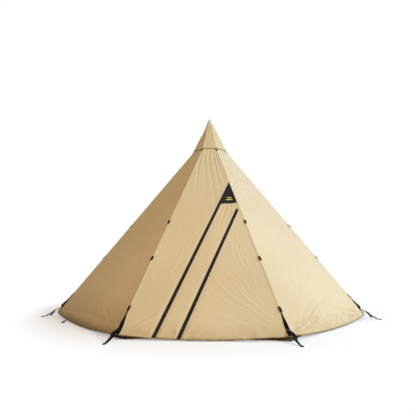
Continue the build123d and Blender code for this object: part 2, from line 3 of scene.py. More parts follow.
import bmesh
import bpy
import numpy as np
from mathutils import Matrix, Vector


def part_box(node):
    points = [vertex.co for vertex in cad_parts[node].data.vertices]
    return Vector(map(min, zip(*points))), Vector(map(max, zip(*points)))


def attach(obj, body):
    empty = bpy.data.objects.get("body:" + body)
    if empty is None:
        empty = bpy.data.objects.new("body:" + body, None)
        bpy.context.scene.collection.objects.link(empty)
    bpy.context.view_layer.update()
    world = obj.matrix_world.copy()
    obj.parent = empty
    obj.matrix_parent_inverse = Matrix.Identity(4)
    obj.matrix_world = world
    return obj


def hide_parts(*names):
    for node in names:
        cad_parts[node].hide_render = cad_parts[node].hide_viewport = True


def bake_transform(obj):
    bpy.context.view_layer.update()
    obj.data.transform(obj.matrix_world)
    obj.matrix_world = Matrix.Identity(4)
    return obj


# Eight-sided canvas teepee tent, in metres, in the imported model's frame: +Z up, door side towards -Y.
# A point on a canvas side is given as x, across from the side's middle, and s, down the slope from the
# point where the seams would meet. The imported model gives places; these are the shared driving sizes.

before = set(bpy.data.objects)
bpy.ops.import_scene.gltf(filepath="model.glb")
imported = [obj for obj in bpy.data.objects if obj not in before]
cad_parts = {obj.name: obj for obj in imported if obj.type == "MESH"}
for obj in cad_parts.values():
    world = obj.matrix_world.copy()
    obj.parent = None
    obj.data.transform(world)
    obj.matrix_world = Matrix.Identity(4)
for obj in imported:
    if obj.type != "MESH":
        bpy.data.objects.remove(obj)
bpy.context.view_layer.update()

# ---- driving sizes ----
SIDES = 8
HALF_TURN = math.pi / SIDES
FULL_TURN = 2 * math.pi
APEX_Z = 3.100
CORNER_R = 2.400
CORNER_Z = 0.052
CROWN_S = 0.190
CANVAS_PLATE = 0.002

LEFT_ZIP_TOP_S = 1.370
LEFT_ZIP_HEM_X = -0.528
RIGHT_ZIP_TOP_S = 1.894
RIGHT_ZIP_HEM_X = -0.263
PATCH_LEFT_S = 1.815
PATCH_RIGHT_S = 1.790
HINGE_TOP_INSET = 0.010
HINGE_HEM_INSET = 0.150
DOOR_HEM_LIFT = 0.008
TAPE_WIDTH = 0.0205
GUY_TAB_S = (2.170, 2.780, 3.463)

HAT_RIM_R = 0.313
HAT_RIM_Z = 2.721
HAT_TOP_R = 0.025
HAT_TOP_Z = 3.3386

UP = np.array([0.0, 0.0, 1.0])


def plan_way(place):
    """Level outward and sideways directions at a place round the tent, counted in sides from the door's."""
    turn = 2 * HALF_TURN * place
    return np.array([math.sin(turn), -math.cos(turn), 0.0]), np.array([math.cos(turn), math.sin(turn), 0.0])


def corner_way(corner):
    """Level outward and sideways directions at corner 0 to 7; corner 0 is at the door side's right."""
    return plan_way(corner + 0.5)


class Pyramid:
    """The planes of an eight-sided pyramid, from its apex height and one base corner."""

    def __init__(self, apex_z, corner_r, corner_z):
        self.apex_z = apex_z
        run = corner_r * math.cos(HALF_TURN)
        drop = apex_z - corner_z
        self.slant = math.hypot(run, drop)
        self.cos = run / self.slant
        self.sin = drop / self.slant
        self.spread = corner_r * math.sin(HALF_TURN) / self.slant

    def points(self, side, x, s, lift):
        """Points at x across, s down the slope and lift outward, on side 0 (the door side) to 7."""
        level, across = plan_way(side)
        down, out = level * self.cos - UP * self.sin, level * self.sin + UP * self.cos
        x, s, lift = np.broadcast_arrays(x, s, lift)
        return self.apex_z * UP + x[..., None] * across + s[..., None] * down + lift[..., None] * out


TENT = Pyramid(APEX_Z, CORNER_R, CORNER_Z)
HAT_APEX = HAT_RIM_Z + (HAT_TOP_Z - HAT_RIM_Z) * HAT_RIM_R / (HAT_RIM_R - HAT_TOP_R)
HAT = Pyramid(HAT_APEX, HAT_RIM_R, HAT_RIM_Z)

CORNER_X = CORNER_R * math.sin(HALF_TURN)
CORNER_S = TENT.slant
GROUND_S = (APEX_Z - CANVAS_PLATE * TENT.cos) / TENT.sin
HEM_SAG = GROUND_S - CORNER_S
HEM_ARC_R = (CORNER_X**2 + HEM_SAG**2) / (2 * HEM_SAG)


def hem(x):
    """Slope distance of the hem at x."""
    return GROUND_S - HEM_ARC_R + np.sqrt(HEM_ARC_R**2 - np.asarray(x) ** 2)


def above_hem(x, s):
    return hem(np.clip(x, -CORNER_X, CORNER_X)) - s


def at_hem(x):
    return (x, float(hem(x)))


def through(a, b):
    """The line x = x0 + slope * s through two points (x, s)."""
    slope = (b[0] - a[0]) / (b[1] - a[1])
    return (a[0] - slope * a[1], slope)


def shifted(line, right):
    return (line[0] + right * math.hypot(1, line[1]), line[1])


def x_at(line, s):
    return line[0] + line[1] * s


def hem_s(line):
    """Slope distance where a line meets the hem."""
    s = GROUND_S
    for _ in range(30):
        s = float(hem(x_at(line, s)))
    return s


SEAM = (0.0, TENT.spread)
LEFT_SEAM = (0.0, -TENT.spread)
LEFT_ZIP = through((x_at(SEAM, LEFT_ZIP_TOP_S), LEFT_ZIP_TOP_S), at_hem(LEFT_ZIP_HEM_X))
HINGE_TOP = (x_at(SEAM, PATCH_RIGHT_S) - HINGE_TOP_INSET, PATCH_RIGHT_S)
HINGE = through(HINGE_TOP, at_hem(CORNER_X - HINGE_HEM_INSET))
RIGHT_ZIP = through((x_at(HINGE, RIGHT_ZIP_TOP_S), RIGHT_ZIP_TOP_S), at_hem(RIGHT_ZIP_HEM_X))
PATCH_LEFT_X = x_at(LEFT_ZIP, PATCH_LEFT_S)
PATCH_TILT = (PATCH_RIGHT_S - PATCH_LEFT_S) / (HINGE_TOP[0] - PATCH_LEFT_X)


def patch_s(x):
    """Slope distance of the patch's lower edge at x."""
    return PATCH_LEFT_S + PATCH_TILT * (x - PATCH_LEFT_X)


def strip_right(s):
    """The door strip's right edge: the hinge line down to the right zip's top, then the zip."""
    return np.minimum(x_at(HINGE, s), x_at(RIGHT_ZIP, s))


# ---- small numeric helpers ----
def smooth(low, high, value):
    t = np.clip((np.asarray(value, float) - low) / (high - low), 0, 1)
    return t * t * (3 - 2 * t)


def plateau(start, full, fading, gone, value):
    """0 up to start, 1 from full to fading, 0 again from gone, and smooth on the way."""
    return smooth(start, full, value) * (1 - smooth(fading, gone, value))


def bell(offset, width):
    return np.exp(-((offset / width) ** 2))


def ripple(a, b, seed):
    """Smooth random field from -1 to 1, one lattice cell per unit of a and b."""
    table = np.random.default_rng(seed).uniform(-1, 1, (64, 64))
    i, j = np.floor(a).astype(int), np.floor(b).astype(int)
    fa, fb = a - i, b - j
    fa, fb = fa**3 * (fa * (6 * fa - 15) + 10), fb**3 * (fb * (6 * fb - 15) + 10)
    i0, i1, j0, j1 = i % 64, (i + 1) % 64, j % 64, (j + 1) % 64
    low = table[i0, j0] * (1 - fa) + table[i1, j0] * fa
    high = table[i0, j1] * (1 - fa) + table[i1, j1] * fa
    return low * (1 - fb) + high * fb


def crisp(a, b, seed):
    """Random field with sharp crests, for crumpled cloth."""
    return 1 - 2 * np.abs(ripple(a, b, seed))


# ---- the shape of the cloth: height off the flat side ----
FOLD_BEND_S = 0.80
FRONT_FOLDS = (
    # share of the half width where the fold leaves the hat, drift per slope below FOLD_BEND_S,
    # depth, width, and the slope distance where it has gone
    (-0.84, -0.045, 0.0090, 0.017, 1.85),
    (-0.41, 0.055, 0.0080, 0.018, 2.05),
    (-0.07, 0.130, 0.0084, 0.018, 2.25),
    (0.42, 0.135, 0.0092, 0.017, 2.25),
    (0.69, 0.225, 0.0125, 0.015, 1.66),
    (0.88, 0.235, 0.0100, 0.012, 1.48),
)
SIDE_FOLDS = 6
FAINT_FOLDS = 0.35


def side_folds(side):
    """Folds that fall from under the hat on a plain side; they're faint on side 1."""
    rng = np.random.default_rng(40 + side)
    strength = FAINT_FOLDS if side == 1 else 1.0
    folds = []
    for k in range(SIDE_FOLDS):
        top = -0.85 + 1.7 * (k + 0.5) / SIDE_FOLDS + rng.uniform(-0.08, 0.08)
        drift = TENT.spread * top * rng.uniform(0.8, 1.1)
        depth = strength * rng.uniform(0.0050, 0.0085)
        folds.append((top, drift, depth, rng.uniform(0.014, 0.019), rng.uniform(1.7, 3.0)))
    return folds


def gathers(folds, x, s):
    """Soft valleys that run down from under the hat and fade out."""
    total = np.zeros(np.broadcast(x, s).shape)
    for top, drift, depth, width, end in folds:
        start = top * TENT.spread
        middle = np.where(s < FOLD_BEND_S, start * s, start * FOLD_BEND_S + drift * (s - FOLD_BEND_S))
        reach = width * (0.62 + 0.48 * s)
        valley = bell(x - middle, reach) - 0.42 * bell(x - middle, 2.0 * reach)
        total -= depth * plateau(0.15, 0.50, 0.60, end, s) * valley
    return total


def fan(sign, angle, bend, start, length, width, depth, x, s):
    """One tension crease that leaves a pegged corner: sign -1 for the left corner, 1 for the right."""
    dx, ds = CORNER_X - sign * x, CORNER_S - s
    distance = np.hypot(dx, ds)
    wave = 0.02 * np.sin(9 * distance + 7 * angle)
    way = np.arctan2(ds, dx) - angle - bend * (distance - start) - wave
    off = way * distance / (width * (0.8 + 0.5 * distance))
    crest = bell(off, 1.0) - 0.45 * bell(off - 1.6, 1.0)
    return depth * crest * plateau(start, start + 0.12, start + 0.4 * length, start + length, distance)


# The deepest creases, on the door side and the sides next to it: side, corner, angle up from the hem,
# bend, start, length, width and depth.
DEEP_CREASES = (
    (1, -1, 0.34, 0.08, 0.10, 1.20, 0.020, 0.0075),
    (1, -1, 0.215, 0.10, 0.08, 1.25, 0.015, 0.0150),
    (1, -1, 0.10, 0.06, 0.10, 1.00, 0.012, 0.0110),
    (1, -1, 0.52, -0.05, 0.20, 0.70, 0.014, 0.0030),
    (1, 1, 0.20, 0.10, 0.10, 0.90, 0.013, 0.0100),
    (1, 1, 0.10, 0.06, 0.08, 0.70, 0.011, 0.0085),
    (0, -1, 0.30, 0.02, 0.10, 0.60, 0.015, 0.0046),
    (0, -1, 0.48, 0.05, 0.12, 0.75, 0.014, 0.0040),
    (0, -1, 0.13, 0.03, 0.08, 0.45, 0.014, 0.0070),
    (0, 1, 0.42, 0.10, 0.16, 1.30, 0.0105, 0.0017),
    (0, 1, 0.62, 0.08, 0.20, 1.50, 0.0105, 0.0017),
    (0, 1, 0.80, 0.05, 0.20, 1.40, 0.0105, 0.0015),
    (0, 1, 0.24, 0.06, 0.12, 0.90, 0.0110, 0.0022),
    (7, 1, 0.14, 0.05, 0.08, 0.80, 0.018, -0.0090),
    (7, 1, 0.32, 0.04, 0.12, 0.80, 0.016, 0.0050),
    (7, -1, 0.16, 0.08, 0.10, 1.00, 0.016, 0.0060),
)
FAN_CREASES = 9
FAN_WIDTH = 0.0105
SEAM_CREASES = 3
SHORT_CREASES = 16
CREASE_WIDTH = 0.011


def creases(side, x, s):
    """Fine tension creases: fans from the pegged corners, wavy ones by the seams, short ones between."""
    rng = np.random.default_rng(600 + side)
    total = np.zeros(np.broadcast(x, s).shape)
    for sign in (-1, 1):
        for _ in range(FAN_CREASES):
            angle, bend = rng.uniform(0.10, 1.15), rng.uniform(-0.08, 0.14)
            start, length = rng.uniform(0.12, 0.60), rng.uniform(0.5, 1.5)
            depth = rng.choice((-1, 1)) * rng.uniform(0.0009, 0.0017)
            total += fan(sign, angle, bend, start, length, FAN_WIDTH, depth, x, s)
        for _ in range(SEAM_CREASES):
            inset, middle, half = rng.uniform(0.08, 0.34), rng.uniform(2.2, 3.2), rng.uniform(0.3, 0.6)
            sway = 0.012 * np.sin(s * 13 + inset * 50) + 0.006 * np.sin(s * 31)
            off = x - sign * (TENT.spread * s - inset - sway)
            along = plateau(middle - half, middle - 0.4 * half, middle + 0.4 * half, middle + half, s)
            total += rng.uniform(0.0014, 0.0024) * bell(off, CREASE_WIDTH) * along
    for _ in range(SHORT_CREASES):
        middle_s = rng.uniform(1.7, 3.6)
        middle_x = rng.uniform(-0.8, 0.8) * TENT.spread * middle_s
        angle, half = rng.uniform(-0.9, 0.9), rng.uniform(0.10, 0.30)
        dx, ds = x - middle_x, s - middle_s
        a = dx * math.cos(angle) + ds * math.sin(angle)
        b = -dx * math.sin(angle) + ds * math.cos(angle) + 0.5 * a**2
        crease = np.exp(-((b / CREASE_WIDTH) ** 2) - (a / half) ** 4)
        total += rng.choice((-1, 1)) * rng.uniform(0.0008, 0.0015) * crease
    for owner, *crease in DEEP_CREASES:
        if owner == side:
            total += fan(*crease, x, s)
    return total


def hem_fold(side, x, above, inset):
    """The long sagging crease above a plain side's hem, and the full cloth below it."""
    if side == 0:
        return 0.0
    rng = np.random.default_rng(900 + side)
    depth, width = (0.027, 0.031) if side == 1 else (rng.uniform(0.008, 0.015), rng.uniform(0.024, 0.032))
    sag = rng.uniform(0.11, 0.16)
    strong_end = -1 if side == 1 else rng.choice((-1, 1))
    share = np.clip((x / CORNER_X + 1) / 2, 0, 1)
    from_strong = share if strong_end < 0 else 1 - share
    step = above - (0.035 + sag * np.sin(math.pi * share) ** 0.7 + 0.010 * np.sin(11 * share + side))
    strength = 0.35 + 0.65 * smooth(0.75, -0.1, from_strong)
    fold = 0.55 * bell(step + 1.6 * width, 1.5 * width) - bell(step, width)
    crumple = crisp(x / 0.14 + side, (above + 0.35 * x) / 0.055, 930 + side) * bell(above - 0.10, 0.08)
    clear = smooth(0.035, 0.15, inset)
    return depth * clear * (strength * fold + 0.42 * smooth(0.20, 0.50, from_strong) * crumple)


def zip_puckers(x, s):
    """Puckers where the door's zips shorten the cloth near its hem."""
    above = above_hem(x, s)
    total = np.zeros(np.broadcast(x, s).shape)
    for line, seed in ((LEFT_ZIP, 811), (RIGHT_ZIP, 812)):
        off = np.abs(x - x_at(line, s))
        near = bell(off, 0.14) * smooth(0.008, 0.04, off)
        crumple = crisp(off / 0.11, (s + 0.35 * off) / 0.045, seed)
        total += 0.0105 * near * bell(above - 0.06, 0.11) * crumple
        total += 0.0022 * near * ripple(off / 0.10, (s + 0.5 * off) / 0.06, seed + 2)
    return total


# Share of the strip's width, depth, and length below the patch
STRIP_FOLDS = ((0.16, 0.0036, 0.40), (0.38, 0.0048, 0.66), (0.60, 0.0042, 0.54), (0.82, 0.0036, 0.46))


def strip_folds(x, s):
    """Folds that hang in the door strip from the patch's lower edge."""
    below = s - patch_s(x)
    left = x_at(LEFT_ZIP, s)
    share = (x - left) / np.maximum(strip_right(s) - left, 0.05)
    total = np.zeros(np.broadcast(x, s).shape)
    for middle, depth, end in STRIP_FOLDS:
        valley = bell(share - middle - 0.22 * below / end, 0.062)
        total -= depth * valley * plateau(0.0, 0.05, 0.08, end, below)
    return total * plateau(0.02, 0.14, 0.86, 0.98, share)


def beside_zips(x, s):
    """0 along the two zips, which hold the cloth flat, and 1 a little way from them."""
    left, right = (smooth(0.014, 0.075, np.abs(x - x_at(line, s))) for line in (LEFT_ZIP, RIGHT_ZIP))
    return left * right


def bulge(side, x, s):
    """Outward belly of a side near its hem, tucked in a little at the hem itself."""
    depth, turn_in, height = (0.005, 0.30, 0.045) if side == 0 else (0.042, 0.62, 0.075)
    above = above_hem(x, s)
    across = 1 - np.clip(x / (TENT.spread * s), -1, 1) ** 2
    rise = (1 - smooth(0.10, 1.9, above)) ** 1.4
    return depth * across * rise * (1 - turn_in * np.exp(-above / height))


def relief(side, x, s):
    """How far the canvas stands off its flat side."""
    folds = FRONT_FOLDS if side == 0 else side_folds(side)
    x, s = np.asarray(x, float), np.asarray(s, float)
    inset = TENT.spread * s - np.abs(x)
    edge = smooth(0.0, 0.04, inset)
    above = above_hem(x, s)
    height = gathers(folds, x, s) + creases(side, x, s)
    lower = smooth(0.8, 2.2, s)
    height += 0.0030 * lower * ripple(x / 0.55 + 9 * side, s / 0.80 + 5, 11 + side)
    height += 0.0010 * lower * ripple((x + 0.5 * s) / 0.15, (s - 0.4 * x) / 0.40, 31 + side)
    rumple = 0.0085 if side == 0 else 0.0060
    height += rumple * np.exp(-above / 0.085) * crisp(x / 0.105 + 3 * s, (s + 0.25 * x) / 0.050, 51 + side)
    height += 0.0050 * np.exp(-above / 0.20) * ripple(x / 0.26 + 4, s / 0.7, 71 + side)
    height += 0.00025 * ripple(x / 0.035, s / 0.05, 5 + side)
    height += hem_fold(side, x, above, inset)
    if side == 0:
        height += strip_folds(x, s) + zip_puckers(x, s)
        return (height * edge + bulge(side, x, s)) * beside_zips(x, s)
    return height * edge + bulge(side, x, s)


def canvas(side, x, s, lift=0.0):
    """Points on the cloth of a side, raised off it by lift."""
    return TENT.points(side, x, s, relief(side, x, s) + lift)


def front(x, s, lift=0.0):
    return canvas(0, x, s, lift)


# ---- mesh helpers ----
def mesh_object(name, points, faces, material, uv=None, smooth_shade=True):
    mesh = bpy.data.meshes.new(name)
    mesh.from_pydata(np.asarray(points).reshape(-1, 3).tolist(), [], [list(map(int, f)) for f in faces])
    if uv is not None:
        layer = mesh.uv_layers.new(name="metres")
        loops = np.zeros(len(mesh.loops), int)
        mesh.loops.foreach_get("vertex_index", loops)
        layer.data.foreach_set("uv", uv.reshape(-1, 2)[loops].astype(np.float32).ravel())
    mesh.polygons.foreach_set("use_smooth", [smooth_shade] * len(mesh.polygons))
    mesh.materials.append(material)
    mesh.update()
    made = bpy.data.objects.new(name, mesh)
    bpy.context.scene.collection.objects.link(made)
    return made


def grid_faces(rows, columns, wrap=False):
    """Quads of a grid of points; wrap joins the last column to the first."""
    faces = []
    for row in range(0, (rows - 1) * columns, columns):
        for c in range(columns if wrap else columns - 1):
            a, b = row + c, row + (c + 1) % columns
            faces.append((a, a + columns, b + columns, b))
    return faces


def pair(u, v):
    """UV coordinates, in metres, from two arrays that broadcast together."""
    return np.stack(np.broadcast_arrays(u, v), axis=-1)


def profile(*points):
    """Places and lifts, each as one row, of the (place, lift) points round a section."""
    place, lift = np.array(points).T
    return place[None, :], lift[None, :]


class Builder:
    """Collects several closed or open grids into one mesh."""

    def __init__(self):
        self.points, self.uvs, self.faces, self.count = [], [], [], 0

    def add(self, points, uv, faces):
        """Adds points, with faces that number them from 0."""
        self.faces += [[self.count + k for k in face] for face in faces]
        self.points.append(points.reshape(-1, 3))
        self.uvs.append(uv.reshape(-1, 2))
        self.count += len(self.points[-1])

    def grid(self, points, uv, wrap=False, caps=False):
        rows, columns = points.shape[:2]
        faces = grid_faces(rows, columns, wrap)
        if caps:
            faces.append(range(columns))
            faces.append(range(rows * columns - 1, (rows - 1) * columns - 1, -1))
        self.add(points, uv, faces)

    def tube(self, rings, uv):
        """A closed strip: rings is rows of points round the section."""
        self.grid(rings, uv, wrap=True, caps=True)

    def build(self, name, material):
        uv = np.concatenate(self.uvs)
        return mesh_object(name, np.concatenate(self.points), self.faces, MATERIALS[material], uv)


def strap_section(width, thickness):
    """Section of a webbing strap as (across, up) points, with rounded edges."""
    half, top = width / 2, thickness / 2
    inner, shoulder = half - 0.6 * thickness, 0.4 * top
    right = [(inner, -top), (half, -shoulder), (half, shoulder), (inner, top)]
    left = [(-across, -up) for across, up in right]
    return np.array([left[-1], *right, *left[:-1]])


def strap(builder, path, across, width, thickness):
    """A flat strap along a path of points; across is its width direction."""
    along = np.gradient(path, axis=0)
    along /= np.linalg.norm(along, axis=1)[:, None]
    across = np.broadcast_to(across, path.shape)
    normal = np.cross(across, along)
    normal = normal / np.linalg.norm(normal, axis=1)[:, None]
    section = strap_section(width, thickness)[None]
    rings = path[:, None] + section[..., :1] * across[:, None] + section[..., 1:] * normal[:, None]
    length = np.concatenate([[0], np.cumsum(np.linalg.norm(np.diff(path, axis=0), axis=1))])
    builder.tube(rings, pair(section[..., 0], length[:, None]))


def put(piece, body, *nodes, slot):
    """A piece rides on a body and stands for the CAD nodes given."""
    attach(piece, body)
    if nodes:
        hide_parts(*nodes)


def weld(piece, distance):
    """Joins points that lie together, so that a cloth is one surface."""
    made = bmesh.new()
    made.from_mesh(piece.data)
    bmesh.ops.remove_doubles(made, verts=made.verts, dist=distance)
    made.to_mesh(piece.data)
    made.free()


# ---- materials ----
SHADER_INPUTS = {
    "color": "Base Color", "rough": "Roughness", "metal": "Metallic", "specular": "Specular IOR Level",
    "sheen": "Sheen Weight", "sheen_rough": "Sheen Roughness", "sheen_tint": "Sheen Tint", "normal": "Normal",
}


class Nodes:
    """A material's node tree, with short calls. A colour is given as its red, green and blue."""

    def __init__(self, name):
        self.material = bpy.data.materials.new(name)
        self.material.use_nodes = True
        self.tree = self.material.node_tree
        self.shader = self.tree.nodes["Principled BSDF"]

    def add(self, kind, **values):
        node = self.tree.nodes.new(kind)
        for key, value in values.items():
            setattr(node, key, value)
        return node

    def feed(self, socket, value):
        if isinstance(value, bpy.types.NodeSocket):
            self.tree.links.new(value, socket)
        elif isinstance(value, tuple) and socket.type == "RGBA":
            socket.default_value = (*value, 1)
        else:
            socket.default_value = value

    def fill(self, node, **values):
        """Feeds a node's inputs by name, with _ for a space."""
        for key, value in values.items():
            self.feed(node.inputs[key.replace("_", " ")], value)
        return node.outputs

    def math(self, operation, a, b=0.0, c=0.0, clamp=False):
        node = self.add("ShaderNodeMath", operation=operation, use_clamp=clamp)
        for socket, value in zip(node.inputs, (a, b, c)):
            self.feed(socket, value)
        return node.outputs[0]

    def times(self, a, b):
        return self.math("MULTIPLY", a, b)

    def mix(self, share, a, b):
        node = self.add("ShaderNodeMix", data_type="RGBA")
        for index, value in ((0, share), (6, a), (7, b)):
            self.feed(node.inputs[index], value)
        return node.outputs[2]

    def noise(self, vector, scale, detail=3.0, roughness=0.55):
        node = self.add("ShaderNodeTexNoise")
        return self.fill(node, Vector=vector, Scale=scale, Detail=detail, Roughness=roughness)["Fac"]

    def stretched(self, vector, scale):
        return self.fill(self.add("ShaderNodeMapping"), Vector=vector, Scale=scale)["Vector"]

    def ramp(self, value, low, high, out_low=0.0, out_high=1.0):
        node = self.add("ShaderNodeMapRange", interpolation_type="SMOOTHSTEP")
        ends = {"From_Min": low, "From_Max": high, "To_Min": out_low, "To_Max": out_high}
        return self.fill(node, Value=value, **ends)["Result"]

    def place(self):
        return self.add("ShaderNodeTexCoord").outputs["Object"]

    def uv(self):
        return self.add("ShaderNodeTexCoord").outputs["UV"]

    def split(self, vector):
        return self.fill(self.add("ShaderNodeSeparateXYZ"), Vector=vector)

    def bump(self, height, distance, strength, below=None):
        values = {"Strength": strength, "Distance": distance, "Height": height}
        if below is not None:
            values["Normal"] = below
        return self.fill(self.add("ShaderNodeBump"), **values)["Normal"]

    def set(self, **values):
        for key, value in values.items():
            self.feed(self.shader.inputs[SHADER_INPUTS[key]], value)
        return self.material


SHEEN_ROUGH = 0.4
SHEEN_TINT = (1.0, 0.98, 0.96)
STITCH_HALF = 0.0007
STITCH_GAP = 0.28
PALE_THREAD = (0.74, 0.62, 0.42)
GREY_THREAD = (0.075, 0.080, 0.085)
# Colours of the canvas's darkening near the ground: partly dust and dirt, partly painted shade.
SHADE_AND_DUST_COLOR = (0.36, 0.22, 0.085)
HEM_SHADE_AND_DIRT = (0.15, 0.08, 0.028)
HERRINGBONE = 0.011
SCRATCHES = (840.0, 840.0, 30.0)


def weave(n, uv, pitch):
    """Height of a plain weave from the coordinates in metres."""
    a, b = (n.math("SINE", n.times(uv[k], FULL_TURN / pitch)) for k in (0, 1))
    return n.times(a, b)


def sew(n, color, normal, across, along, rows, pitch, thread):
    """Colour and normal with rows of stitches at the distances across that rows gives."""
    dash = n.math("GREATER_THAN", n.math("FRACT", n.times(along, 1 / pitch)), STITCH_GAP)
    line = 0.0
    for row in rows:
        line = n.math("ADD", line, n.math("COMPARE", across, row, STITCH_HALF), clamp=True)
    sewn = n.times(line, dash)
    return n.mix(sewn, color, thread), n.bump(sewn, 0.0006, 0.8, normal)


def canvas_material(name, colors, shade_and_dust, shade_and_dust_top=0.25, specular=0.25, stitches=()):
    """Matt cotton canvas: plain weave, slubs, soft colour changes, and darker and browner near the ground,
    partly dust and partly painted shade.
    """
    base, light, dark = colors
    n = Nodes(name)
    place, uv = n.place(), n.split(n.uv())
    broad = n.noise(place, 0.9, 2.0)
    mottled = n.noise(place, 9.0, 4.0, 0.6)
    slubs = n.noise(n.stretched(n.uv(), (900.0, 40.0, 1.0)), 1.0, 2.0)
    color = n.mix(n.ramp(broad, 0.30, 0.70), dark, light)
    color = n.mix(n.ramp(mottled, 0.35, 0.70, 0.0, 0.35), color, base)
    color = n.mix(n.ramp(slubs, 0.55, 0.80, 0.0, 0.10), color, light)
    height = n.split(place)[2]
    # Darker, browner colour towards the ground, in patches: partly dust, partly painted shade of the cloth
    # curving under near the hem.
    dust_and_shade = n.times(n.ramp(height, 0.0, shade_and_dust_top, 0.30 * shade_and_dust, 0.0), n.ramp(mottled, 0.2, 0.8, 0.75, 1.0))
    color = n.mix(dust_and_shade, color, SHADE_AND_DUST_COLOR)
    # A narrow dark band right at the hem: painted shade where the cloth tucks under, with some dirt.
    color = n.mix(n.ramp(height, 0.01, 0.24 * shade_and_dust_top, 0.40 * shade_and_dust, 0.0), color, HEM_SHADE_AND_DIRT)
    fibres = n.noise(place, 420.0, 3.0)
    normal = n.bump(fibres, 0.0003, 0.15, n.bump(weave(n, uv, 0.0016), 0.0002, 0.20))
    if stitches:
        color, normal = sew(n, color, normal, uv[0], uv[1], stitches, 0.0065, PALE_THREAD)
    rough = n.ramp(mottled, 0.2, 0.8, 0.86, 0.95)
    return n.set(color=color, rough=rough, sheen=0.40, sheen_rough=SHEEN_ROUGH, sheen_tint=SHEEN_TINT,
                 specular=specular, normal=normal)


def webbing_material(name, base, worn, pitch=0.0024, rough=0.8, specular=0.3, stitches=(), sheen=0.1):
    """Woven webbing with a herringbone along its length and worn, lighter patches."""
    n = Nodes(name)
    uv = n.split(n.uv())
    zigzag = n.math("SUBTRACT", n.math("FRACT", n.times(uv[0], 1 / HERRINGBONE)), 0.5)
    slant = n.times(n.math("ABSOLUTE", zigzag), HERRINGBONE)
    ribs = n.math("SINE", n.times(n.math("ADD", uv[1], slant), FULL_TURN / pitch))
    fuzz = n.noise(n.place(), 260.0, 3.0)
    patches = n.noise(n.place(), 14.0, 3.0)
    color = n.mix(n.ramp(patches, 0.35, 0.8, 0.0, 0.55), base, worn)
    color = n.mix(n.ramp(fuzz, 0.5, 0.8, 0.0, 0.35), color, worn)
    normal = n.bump(fuzz, 0.0002, 0.3, n.bump(ribs, 0.0004, 0.6))
    if stitches:
        across = n.math("ABSOLUTE", uv[0])
        color, normal = sew(n, color, normal, across, uv[1], stitches, 0.005, GREY_THREAD)
    rough = n.ramp(patches, 0.2, 0.8, rough - 0.08, rough + 0.08)
    return n.set(color=color, rough=rough, sheen=sheen, sheen_rough=SHEEN_ROUGH, specular=specular,
                 normal=normal)


def cloth_material(name, base, light, rough, specular):
    """Coated plain cloth, for the black patch, the hem edge, the zip coil and the sod cloth."""
    n = Nodes(name)
    place, uv = n.place(), n.split(n.uv())
    patches = n.noise(place, 6.0, 4.0, 0.6)
    fine = n.noise(place, 180.0, 2.0)
    color = n.mix(n.ramp(patches, 0.3, 0.75), base, light)
    normal = n.bump(fine, 0.0003, 0.25, n.bump(weave(n, uv, 0.0014), 0.0002, 0.4))
    rough = n.ramp(fine, 0.3, 0.7, rough - 0.06, rough + 0.08)
    return n.set(color=color, rough=rough, sheen=0.08, sheen_rough=SHEEN_ROUGH, specular=specular,
                 normal=normal)


def metal_material(name, base, worn, rough, metal=1.0):
    """Metal or hard plastic with fine lengthwise scratches and worn patches."""
    n = Nodes(name)
    place = n.place()
    lines = n.noise(n.stretched(place, SCRATCHES), 1.0, 2.0)
    patches = n.noise(place, 22.0, 4.0, 0.6)
    color = n.mix(n.ramp(patches, 0.45, 0.8, 0.0, 0.6), base, worn)
    streaks = n.ramp(lines, 0.3, 0.7, rough - 0.06, rough + 0.08)
    rough = n.math("ADD", streaks, n.ramp(patches, 0.4, 0.8, 0.0, 0.1))
    return n.set(color=color, rough=rough, metal=metal, normal=n.bump(lines, 0.00008, 0.5))


# The base, light and dark colour of each canvas; SHADY_TAN is a slightly darker copy of TAN for the sides
# away from the key light, painted shade.
TAN = ((0.648, 0.490, 0.287), (0.672, 0.513, 0.308), (0.625, 0.467, 0.266))
SHADY_TAN = ((0.638, 0.478, 0.274), (0.662, 0.500, 0.294), (0.616, 0.455, 0.254))
BROWN = ((0.56, 0.40, 0.21), (0.60, 0.44, 0.24), (0.50, 0.35, 0.17))

